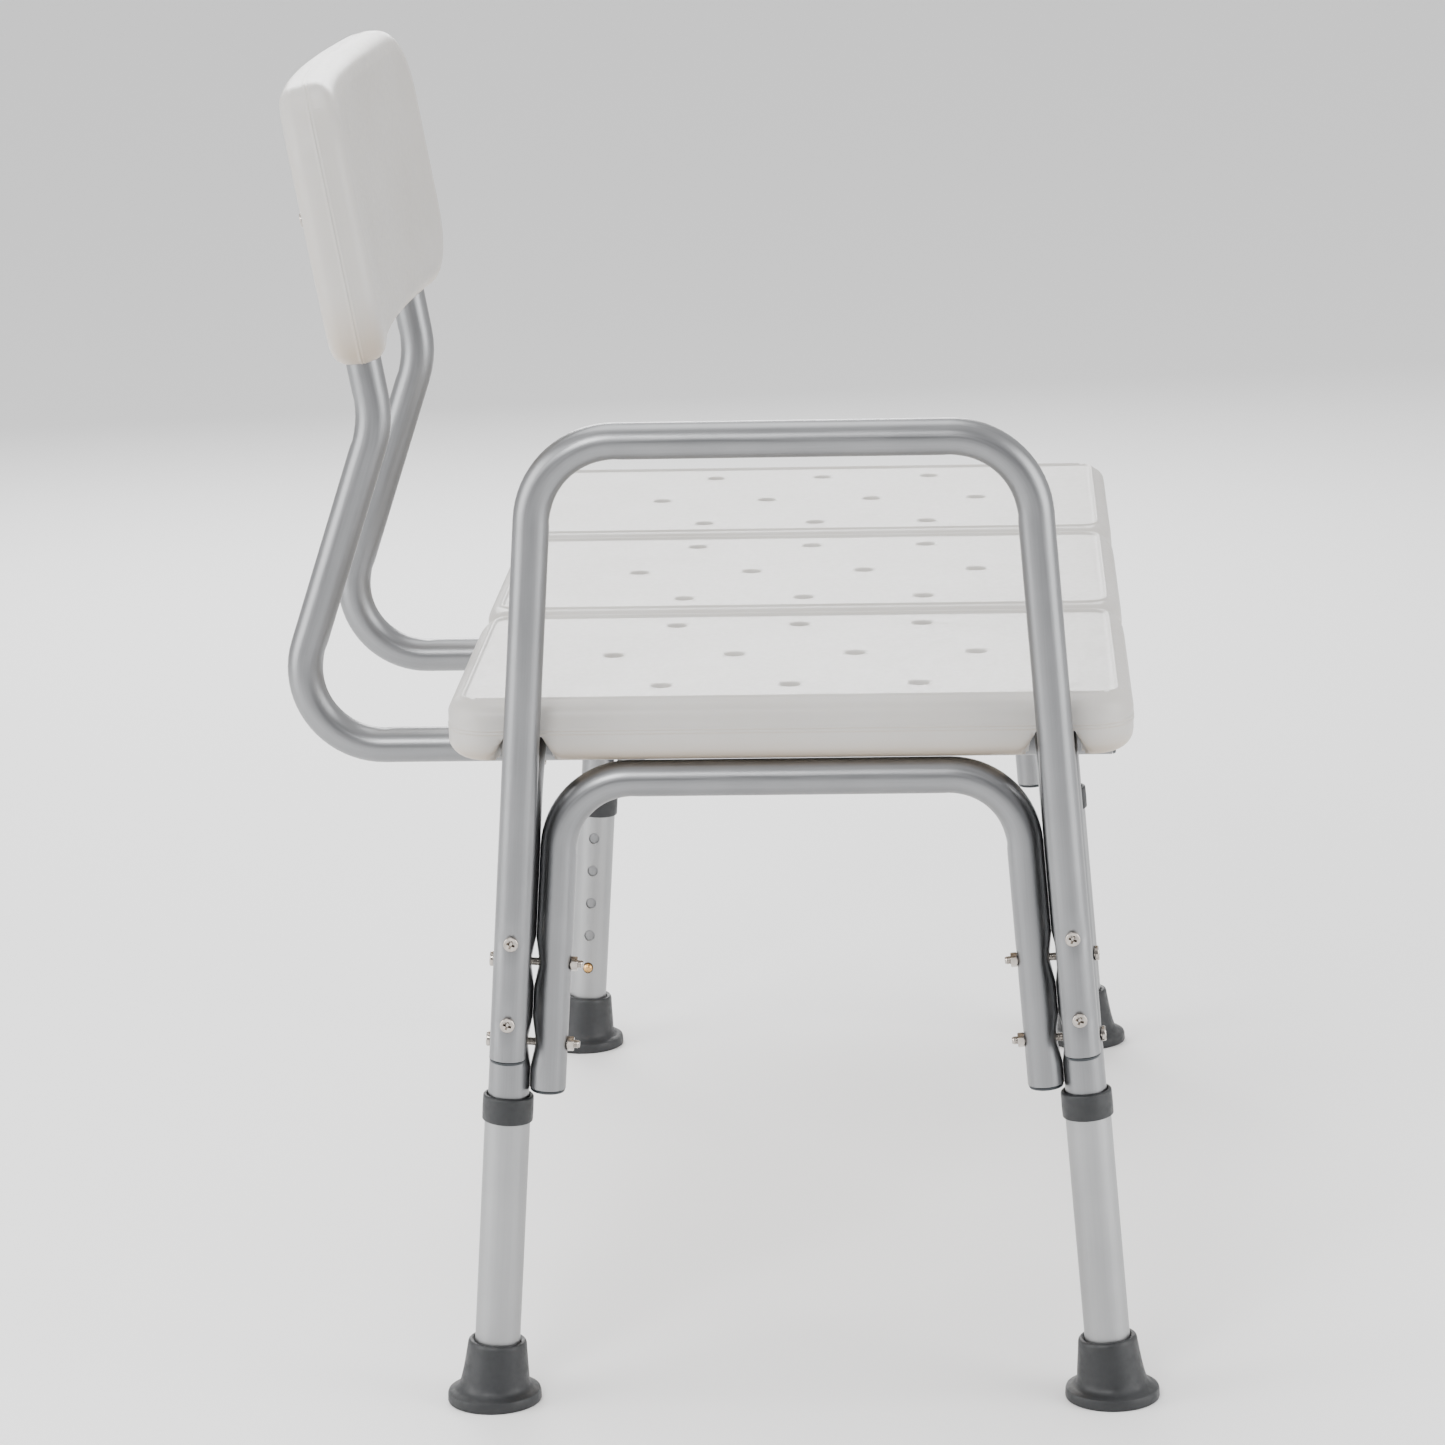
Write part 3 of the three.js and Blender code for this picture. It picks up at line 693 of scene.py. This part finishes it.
def seat_face(x, y, inset):
    z = SEAT_TOP - rounding(inset, SEAT_EDGE_TOP)
    for module in (-1, 0, 1):
        away = bead_distance(x, y, module)
        z += BEAD["height"] * np.exp(-((away / BEAD["width"]) ** 2))
        z -= 0.35 * smooth_step(-away, 0.5, 3.0)
    for joint in JOINTS:
        z -= 2.6 * np.exp(-(((x - joint) / 5.2) ** 2))
    for cx, cy in drain_places():
        away = np.hypot(x - cx, y - cy)
        z -= 2.7 * (1 - smooth_step(away, 3.9, 6.9))
    return z


def channel_roof(x, y):
    """Height of the channels under the seat that the leg frames lie in, open at both ends."""
    roof = CHANNEL_ROOF - 9.0 * smooth_step(np.abs(x), 368.0, 388.0)
    slope = 6.0 - 4.2 * smooth_step(np.abs(x), 366.0, 384.0)
    away = np.abs(np.abs(y) - CHANNEL_Y)
    return roof - slope * np.maximum(away - CHANNEL_HALF, 0)


def seat_base(x, y, inset):
    z = SEAT_BOTTOM + rounding(inset, SEAT_EDGE_LOW)
    for joint in JOINTS:
        z = z + 1.5 * np.exp(-(((x - joint) / 5.0) ** 2))
    for cx, cy in drain_places():
        away = np.hypot(x - cx, y - cy)
        z = z + 1.2 * (1 - smooth_step(away, 4.2, 7.4))
    return np.maximum(z, channel_roof(x, y))


def scallop(shape):
    """Draws the long edges in a little where two modules meet."""
    x, y = shape.points[:, 0], shape.points[:, 1]
    near = sum(np.exp(-(((x - joint) / 17.0) ** 2)) for joint in JOINTS)
    edge = smooth_step(np.abs(y), SEAT_HALF[1] - 45, SEAT_HALF[1])
    shape.points[:, 1] -= np.sign(y) * 4.6 * near * edge


def seat():
    drains = drain_places()
    stops = [s * sign for s in DRAIN_STOPS for sign in (-1, 1)]
    bead_steps = (-3.2, -2.1, -1.3, -0.6, 0, 0.6, 1.3, 2.1, 3.2)
    arc_steps = [4.6 + 1.5 * k for k in range(7)]
    x_marks = [cx + s for cx in {p[0] for p in drains} for s in stops]
    for module in (-1, 0, 1):
        middle, half = bead_box(module)
        for way in (-1, 1):
            x_marks += [middle + way * (half - s) for s in [*bead_steps, *arc_steps]]
    for joint in JOINTS:
        x_marks += [joint + s for s in np.arange(-9, 9.1, 1.5)]
    x_marks += [way * x for way in (-1, 1) for x in (368, 371, 374, 376.5)]
    y_marks = [cy + s for cy in {p[1] for p in drains} for s in stops]
    y_bead = SEAT_HALF[1] - BEAD["side"]
    for way in (-1, 1):
        y_marks += [way * (y_bead - s) for s in [*bead_steps, *arc_steps]]
        y_marks += [way * (CHANNEL_Y + sign * s) for sign in (-1, 1)
                    for s in (8, CHANNEL_HALF, 12.6, 13.7, 14.9, 16.1, 18, 20.5, 23, 26)]
    insets = edge_insets(SEAT_EDGE_TOP, 8)
    xs = panel_lines(SEAT_HALF[0], [*insets, 11.9], x_marks, 8.0)
    ys = panel_lines(SEAT_HALF[1], insets[:7], y_marks, 8.0)
    parting = [(0.0, 430.6), (0.0, 429.2), (0.38, 428.7), (0.38, 428.2), (0.05, 427.8), (0.05, 427.1),
               (0.38, 426.7), (0.38, 426.2), (0.0, 425.7), (0.0, 425.0)]
    shape = panel(xs, ys, SEAT_HALF, SEAT_CORNER, seat_face, seat_base, parting, drains)
    scallop(shape)
    return shape


# ---- backrest ----
PANEL_EDGE_FRONT, PANEL_EDGE_BACK, PANEL_DISH, DISH_REACH = 12.5, 12.0, 3.2, 46.0


def backrest_shape():
    def face(x, y, inset):
        dish = PANEL_DISH * smooth_step(inset, 15.0, DISH_REACH)
        lip = 0.4 * np.exp(-(((inset - 15.5) / 2.4) ** 2))
        return PANEL_THICK / 2 - rounding(inset, PANEL_EDGE_FRONT) - dish + lip

    def base(x, y, inset):
        return -PANEL_THICK / 2 + rounding(inset, PANEL_EDGE_BACK)

    steps = [13.6, 14.8, 16, 17.5, 20, 23, 28, 34, 40, DISH_REACH]
    marks_x = [way * (PANEL_HALF[0] - s) for way in (-1, 1) for s in steps]
    marks_y = [way * (PANEL_HALF[1] - s) for way in (-1, 1) for s in steps]
    insets = edge_insets(PANEL_EDGE_FRONT, 9)
    xs = panel_lines(PANEL_HALF[0], insets, marks_x, 7.0)
    ys = panel_lines(PANEL_HALF[1], insets, marks_y, 7.0)
    parting = [(0.3, 4.5), (0.45, 2.6), (0.75, 2.2), (0.75, 1.7), (0.45, 1.3), (0.45, 0.6),
               (0.75, 0.2), (0.75, -0.3), (0.45, -0.7), (0.25, -2.0)]
    shape = panel(xs, ys, PANEL_HALF, PANEL_CORNER, face, base, parting)
    x, y, z = shape.points.T
    bow = PANEL_BOW * (BACK_HALF ** 2 - x ** 2)
    shape.points = np.array([back_point(a, b, c) for a, b, c in zip(x, bow - z, y + PANEL_HALF[1])])
    return shape


def socket(across):
    """Room in the backrest for the top of one of its tubes."""
    up = back_point(0, 0, 1) - back_point(0, 0, 0)
    bar = lathe([(0, -30), (RAIL_RADIUS + 0.5, -30), (RAIL_RADIUS + 0.5, BACK_INSIDE + 4),
                 (0, BACK_INSIDE + 4)], TUBE_SIDES)
    return bar.set_on(back_point(across * BACK_HALF, 0, 0), up, (1, 0, 0))


# ---- fasteners ----
SHANK, HEAD_RADIUS = 2.5, 4.6
RECESS_LEVEL = 2.75  # how far above the bearing face of a head its recess starts
NUT_FLAT, NUT_HEIGHT = 4.0, 4.0


def thread(radius, start, stop, pitch=0.8, depth=0.22):
    """Profile of fine grooves round a shank."""
    profile = []
    steps = int((stop - start) / pitch)
    for k in range(steps):
        z = start + k * pitch
        profile += [(radius, z), (radius, z + 0.3 * pitch), (radius - depth, z + 0.65 * pitch)]
    return profile


def recess_bar(turn, depth=2.3, length=3.1, width=0.8):
    """One tapered bar of a Phillips cross, turned round Z; it points down from z = 0."""
    corners = []
    for z, share, thin in ((1.5, 1.25, 1.0), (-depth, 0.35, 0.75)):
        for sx, sy in ((-1, -1), (1, -1), (1, 1), (-1, 1)):
            x, y = sx * length * share, sy * width * thin
            corners.append((x * math.cos(turn) - y * math.sin(turn),
                            x * math.sin(turn) + y * math.cos(turn), z))
    return Shape(corners, [(3, 2, 1, 0), (4, 5, 6, 7)] + ring_faces(0, 4, 4))


def pan_screw(length, threaded=0.0):
    """A pan-head screw with its bearing face at z = 0, its head below and its shank above."""
    head = [(0, -3.0)] + arc((0, 1.15), 4.15, -88, -62, 4) + arc((3.35, -1.55), 1.25, -55, 0, 5)
    head += [(HEAD_RADIUS, -0.35), (HEAD_RADIUS - 0.25, 0), (SHANK, 0)]
    shank = [(SHANK, length - threaded)] if threaded else []
    shank += thread(SHANK, length - threaded, length - 0.8) if threaded else [(SHANK, length - 0.6)]
    return lathe(head + shank + [(1.9, length), (0, length)], 36)


def screw_cutters(origin, way):
    """The two bars of the cross, as separate closed cutters on a screw head."""
    top = np.asarray(origin) - unit(way) * RECESS_LEVEL
    return [recess_bar(turn).set_on(top, -unit(way), (0, 0.93, 0.36)) for turn in (0, math.pi / 2)]


def hex_nut():
    """A chamfered nut that stands on z = 0."""
    sides = TUBE_SIDES
    angles = np.arange(sides) * 2 * math.pi / sides
    flat = NUT_FLAT / np.cos((angles + math.pi / 6) % (math.pi / 3) - math.pi / 6)
    loops = []
    for z, most in ((0.0, 4.15), (0.38, 9.0), (NUT_HEIGHT - 0.45, 9.0), (NUT_HEIGHT, 4.1)):
        radius = np.minimum(flat, most)
        loops.append(np.stack([radius * np.cos(angles), radius * np.sin(angles), np.full(sides, z)], 1))
    for z, radius in ((NUT_HEIGHT, 3.15), (NUT_HEIGHT - 0.4, 2.75), (0.4, 2.75), (0.0, 3.15)):
        loops.append(np.stack([radius * np.cos(angles), radius * np.sin(angles), np.full(sides, z)], 1))
    faces = []
    for k in range(len(loops)):
        faces += ring_faces(k * sides, (k + 1) % len(loops) * sides, sides)
    return Shape(np.vstack(loops), faces)


def plug(radius=10.8):
    """A push-in plug: domed cap below z = -GAP, hollow finned stem above."""
    cap = [(0, -2.3), (5.5, -2.2)] + arc((radius - 1.3, -1.0), 1.1, -80, 0, 4)
    cap += [(radius, -GAP), (9.2, -GAP)]
    fins = []
    for k in range(3):
        z = 1.5 + 3 * k
        fins += [(9.2, z), (9.55, z + 0.5), (9.2, z + 1.6)]
    return lathe(cap + fins + [(9.0, 11), (7.4, 11), (7.4, 0.5), (0, 0.5)], 48)


# ---- legs ----
def lower_leg():
    profile = [(LEG_BORE, LEG_BOTTOM), (LEG_RADIUS - 0.3, LEG_BOTTOM), (LEG_RADIUS, LEG_BOTTOM + 0.3)]
    profile += [(LEG_RADIUS, z) for z in np.linspace(LEG_BOTTOM + 8, LEG_TOP - 8, 24)]
    profile += [(LEG_RADIUS, LEG_TOP - 0.3), (LEG_RADIUS - 0.3, LEG_TOP), (LEG_BORE, LEG_TOP)]
    profile += [(LEG_BORE, z) for z in np.linspace(LEG_TOP - 8, LEG_BOTTOM + 8, 24)]
    return lathe(profile, 64, closed=True)


def height_holes(end):
    """Cutters for the row of height holes, each with a lightly flared mouth."""
    cutters = []
    for k in range(BUTTON_HOLES):
        mouth = BUTTON_HOLE + 0.6
        profile = [(0, 6), (BUTTON_HOLE, 6), (BUTTON_HOLE, LEG_RADIUS - 0.55),
                   (mouth, LEG_RADIUS + 0.15), (mouth, 18), (0, 18)]
        hole = lathe(profile, 32)
        cutters.append(hole.set_on((0, 0, BUTTON_ALONG + k * BUTTON_PITCH), (-end, 0, 0)))
    return cutters


def collar():
    bore, neck, lip = LEG_RADIUS + GAP, FRAME_RADIUS + GAP, LEG_TOP + GAP
    bottom, top, radius = 182.4, 198.8, 15.6
    outside = [(bore, bottom)] + arc((radius - 0.7, bottom + 0.7), 0.7, -90, 0, 4)
    outside += [(radius + 0.12, bottom + 7), (radius, top - 2.2)]
    outside += arc((radius - 1.5, top - 1.5), 1.5, 8, 82, 5)
    inside = [(neck + 0.9, top - 0.05), (neck + 0.35, top - 0.8), (neck, top - 1.4),
              (neck, lip), (bore, lip)]
    return lathe(outside + inside, 64, closed=True)


FOOT = [(0.0, 28.2, 0.0), (0.35, 28.9, 0.0), (1.2, 29.2, 0.0), (5.4, 29.0, 0.0), (6.8, 28.5, 0.0),
        (7.6, 27.2, 0.03), (8.2, 25.4, 0.08), (9.3, 23.2, 0.2), (11.2, 21.9, 0.4), (14.0, 21.2, 0.7),
        (20.0, 20.3, 1.0), (28.0, 19.3, 1.0), (35.0, 18.5, 1.0), (37.2, 18.3, 1.0), (38.6, 17.9, 1.0),
        (39.4, 17.2, 1.0), (39.7, 16.2, 1.0), (39.4, 15.1, 1.0), (38.8, 14.35, 1.0), (24.0, 14.3, 1.0),
        (9.8, 14.3, 1.0), (9.8, 6.0, 1.0)]


def foot(side):
    """A suction-style foot: a level flange that turns into a cone leaning with its leg.

    Each station is a height along the leg, a radius and how far the ring leans with the leg.
    """
    sides = 64
    angles = np.arange(sides) * 2 * math.pi / sides
    up = leg_up(side)
    loops = []
    hollow = [(1.0, 20.0, 0.0), (0.9, 24.0, 0.0), (0.0, 25.0, 0.0)]
    for along, radius, lean in [*hollow, *FOOT]:
        way = unit(vec(0, 0, 1) * (1 - lean) + up * lean)
        across = -unit(np.cross(vec(1, 0, 0), way))
        circle = np.outer(np.cos(angles), vec(1, 0, 0)) + np.outer(np.sin(angles), across)
        centre = leg_point(0, side, along) * lean + vec(0, side * LEG_Y, along) * (1 - lean)
        loops.append(centre + radius * circle)
    count = len(loops)
    faces = []
    for k in range(count - 1):
        faces += ring_faces(k * sides, (k + 1) * sides, sides)
    points = np.vstack([*loops, vec(0, side * LEG_Y, 1.3)[None], leg_point(0, side, 9.8)[None]])
    under, floor = count * sides, count * sides + 1
    faces += [(under, (k + 1) % sides, k) for k in range(sides)]
    last = (count - 1) * sides
    faces += [(last + k, last + (k + 1) % sides, floor) for k in range(sides)]
    return Shape(points, faces)


def snap_button():
    """A domed button on a folded leaf spring; local +Z points out through the leg's hole."""
    tip, root = LEG_RADIUS + 2.6, FRAME_RADIUS - 4.2
    dome = arc((0, tip - 4.1), 4.1, 56, 90, 6)
    pin = lathe([(0, root), (4.4, root), (4.4, root + 1.2), (3.4, root + 1.2), (3.4, tip - 1.9),
                 (3.1, tip - 1.2)] + dome, 32)
    line = [(root, -6), (root, 42), (7.6, 45.2), (4, 46.6), (0, 45.4), (-2.9, 42), (-2.9, -2)]
    centre = np.array(line, float)
    steps = np.gradient(centre, axis=0)
    normal = np.stack([steps[:, 1], -steps[:, 0]], 1)
    normal /= np.linalg.norm(normal, axis=1)[:, None]
    left, right = centre + normal * 0.3, centre - normal * 0.3
    outline = np.vstack([left, right[::-1]])
    size = len(outline)
    points = [(-3.5, z, x) for x, z in outline] + [(3.5, z, x) for x, z in outline]
    faces = ring_faces(0, size, size)
    count = len(centre)
    for k in range(count - 1):
        strip = (k, k + 1, size - 2 - k, size - 1 - k)
        faces += [strip, tuple(i + size for i in reversed(strip))]
    return pin + Shape(points, faces)


def build_leg(end, side):
    label = f"{ENDS[end]}_{SIDES[side]}"
    body = f"leg_{label}"
    origin, up = leg_point(end * LEG_X, side, 0), leg_up(side)
    tube = lower_leg()
    place = tube.points * vec(1, 1, 0.02)
    cutters = [hole.set_on(origin, up, (1, 0, 0)) for hole in height_holes(end)]
    turned = tube.set_on(origin, up, (1, 0, 0))
    turned.places = place
    build(f"lower_leg_{label}", turned, "leg_aluminium", body, cutters)
    build(f"leg_collar_{label}", collar().set_on(origin, up, (1, 0, 0)), "grey_rubber", body)
    standing = foot(side)
    standing.points += vec(end * LEG_X, 0, 0)
    build(f"rubber_foot_{label}", standing, "grey_rubber", body)
    spot = leg_point(end * LEG_X, side, BUTTON_ALONG)
    # local +Y runs up the leg, so the spring's bend points up inside the tube
    z = vec(-end, 0, 0)
    y = up
    turn = np.stack([np.cross(y, z), y, z])
    button = snap_button()
    button.points = button.points @ turn + spot
    build(f"snap_button_{label}", button, "brass_button", f"button_{label}")


# ---- assembly ----
build("seat", seat(), "white_plastic", angle=60)
build("backrest", backrest_shape(), "white_plastic", cutters=[socket(-1), socket(1)], angle=50)
build("side_arm", side_arm(), "aluminium_tube")
for end, end_name in ENDS.items():
    build(f"end_brace_{end_name}", end_brace(end), "aluminium_tube")
for side, side_name in SIDES.items():
    windows = [button_window(end, side) for end in ENDS]
    build(f"leg_frame_{side_name}", leg_frame(side), "aluminium_tube", cutters=windows)
    rim = leg_point(ARM_X, side, ARM_BOTTOM)
    build(f"side_arm_plug_{side_name}", plug().set_on(rim, leg_up(side), (1, 0, 0)), "dark_plug")
    for k, s in enumerate(ARM_SCREWS):
        head = leg_point(ARM_X - RAIL_RADIUS - GAP + 0.9, side, s)
        screw = pan_screw(29.0).set_on(head, (1, 0, 0))
        build(f"side_arm_screw_{side_name}_{k + 1}", screw, "nickel_steel",
              cutters=screw_cutters(head, (1, 0, 0)))
for across, name in ENDS.items():
    x = BACK_X + across * BACK_HALF
    build(f"backrest_tube_{name}", backrest_tube(across), "aluminium_tube")
    rim = plug().set_on((x, BACK_FRONT, BACK_LEVEL), (0, 1, 0), (1, 0, 0))
    build(f"backrest_tube_plug_{name}", rim, "dark_plug")
    inward = back_point(0, -1, 0) - back_point(0, 0, 0)
    head = back_point(across * BACK_HALF, PANEL_THICK / 2 + 0.1, BACK_SCREW)
    build(f"backrest_screw_{name}", pan_screw(14.0, 8.0).set_on(head, inward), "nickel_steel",
          cutters=screw_cutters(head, inward))
    for side, side_name in SIDES.items():
        y = leg_point(0, side, FRAME_TOP / math.cos(SPLAY))[1]
        under = vec(x, y, BACK_LEVEL - RAIL_RADIUS - GAP)
        bolt = pan_screw(35.0, 12.0).set_on(under, (0, 0, 1), (1, 0, 0))
        build(f"seat_frame_bolt_{name}_{side_name}", bolt, "nickel_steel",
              cutters=screw_cutters(under, (0, 0, 1)))
for end, end_name in ENDS.items():
    for side, side_name in SIDES.items():
        label = f"{end_name}_{side_name}"
        build_leg(end, side)
        rim = leg_point(end * LEG_X, side, BRACE_BOTTOM, BRACE_OFFSET)
        build(f"end_brace_plug_{label}", plug().set_on(rim, leg_up(side), (1, 0, 0)), "dark_plug")
        inward = -leg_out(side)
        for k, s in enumerate(BRACE_BOLTS):
            head = leg_point(end * LEG_X, side, s, -FRAME_RADIUS - GAP + 0.4)
            bolt = pan_screw(54.6, 40.0).set_on(head, inward)
            build(f"brace_bolt_{label}_{k + 1}", bolt, "nickel_steel",
                  cutters=screw_cutters(head, inward))
            seatings = leg_point(end * LEG_X, side, s, BRACE_OFFSET + RAIL_RADIUS + GAP - 0.45)
            build(f"brace_nut_{label}_{k + 1}", hex_nut().set_on(seatings, inward, (1, 0, 0)),
                  "nickel_steel")


# ---- studio ----
def floor_paint():
    """A plain pale floor, with a trace of unevenness."""
    paint = Nodes("pale_floor", (0.93, 0.93, 0.93), 0.7)
    paint.bumps((paint.noise(place_vector(paint), 30.0), 0.05, 0.001))
    return paint.material


def room(bright, dim, strength):
    """An even pale room that is dimmer on the arm end's side."""
    world = bpy.data.worlds.new("studio")
    world.use_nodes = True
    bpy.context.scene.world = world
    tree = world.node_tree
    coords = tree.nodes.new("ShaderNodeTexCoord")
    facing = tree.nodes.new("ShaderNodeVectorMath")
    facing.operation = "DOT_PRODUCT"
    facing.inputs[1].default_value = (-0.97, 0.0, 0.24)
    tree.links.new(coords.outputs["Generated"], facing.inputs[0])
    soft = tree.nodes.new("ShaderNodeMapRange")
    soft.interpolation_type = "SMOOTHSTEP"
    soft.inputs["From Min"].default_value = 0.62
    soft.inputs["From Max"].default_value = 0.95
    tree.links.new(facing.outputs["Value"], soft.inputs["Value"])
    mix = tree.nodes.new("ShaderNodeMix")
    mix.data_type = "RGBA"
    mix.inputs[6].default_value = (*bright, 1)
    mix.inputs[7].default_value = (*dim, 1)
    tree.links.new(soft.outputs["Result"], mix.inputs[0])
    back = tree.nodes["Background"]
    tree.links.new(mix.outputs[2], back.inputs["Color"])
    back.inputs["Strength"].default_value = strength


def softbox(name, place, aim, power, size):
    light = bpy.data.lights.new(name, "AREA")
    light.shape = "RECTANGLE"
    light.size, light.size_y = size
    light.energy = power
    lamp = bpy.data.objects.new(name, light)
    lamp.location = place
    lamp.rotation_euler = (Vector(aim) - Vector(place)).to_track_quat("-Z", "Y").to_euler()
    lamp.visible_camera = False
    bpy.context.scene.collection.objects.link(lamp)


def studio():
    size = 30.0
    mesh = bpy.data.meshes.new("floor")
    mesh.from_pydata([(-size, -size, 0), (size, -size, 0), (size, size, 0), (-size, size, 0)],
                     [], [(0, 1, 2, 3)])
    floor = bpy.data.objects.new("floor", mesh)
    bpy.context.scene.collection.objects.link(floor)
    mesh.materials.append(floor_paint())
    room((1.0, 1.0, 1.0), (0.34, 0.34, 0.35), 1.15)
    softbox("box_front_side", (-0.9, -1.9, 0.95), (0, 0, 0.35), 34, (1.3, 1.7))
    softbox("box_back_side", (-0.9, 1.9, 0.95), (0, 0, 0.35), 34, (1.3, 1.7))
    softbox("box_top", (0.3, 0.3, 2.8), (0, 0, 0.4), 30, (1.6, 1.6))
    softbox("box_far_end", (2.7, 0.5, 1.5), (0, 0, 0.45), 60, (1.8, 0.9))
    softbox("box_over_camera", (-3.0, 0.9, 2.3), (0, 0.2, 0.6), 70, (1.2, 0.7))


def camera():
    """The camera stands off the arm end, a little above the bench, and looks down its length."""
    yaw, pitch, roll = 0.0535, 0.2316, 0.0239
    place = vec(-3361.6, -119.9, 1134.3) * MM + SHIFT
    ahead = vec(math.cos(yaw) * math.cos(pitch), math.sin(yaw) * math.cos(pitch), -math.sin(pitch))
    right = vec(math.sin(yaw), -math.cos(yaw), 0)
    down = np.cross(ahead, right)
    right_rolled = math.cos(roll) * right + math.sin(roll) * down
    down_rolled = -math.sin(roll) * right + math.cos(roll) * down
    data = bpy.data.cameras.new("camera")
    data.sensor_width = 36.0
    data.lens = 127.3
    data.clip_end = 100.0
    eye = bpy.data.objects.new("camera", data)
    eye.matrix_world = Matrix([
        (right_rolled[0], -down_rolled[0], -ahead[0], place[0]),
        (right_rolled[1], -down_rolled[1], -ahead[1], place[1]),
        (right_rolled[2], -down_rolled[2], -ahead[2], place[2]),
        (0, 0, 0, 1),
    ])
    bpy.context.scene.collection.objects.link(eye)
    bpy.context.scene.camera = eye


studio()
camera()
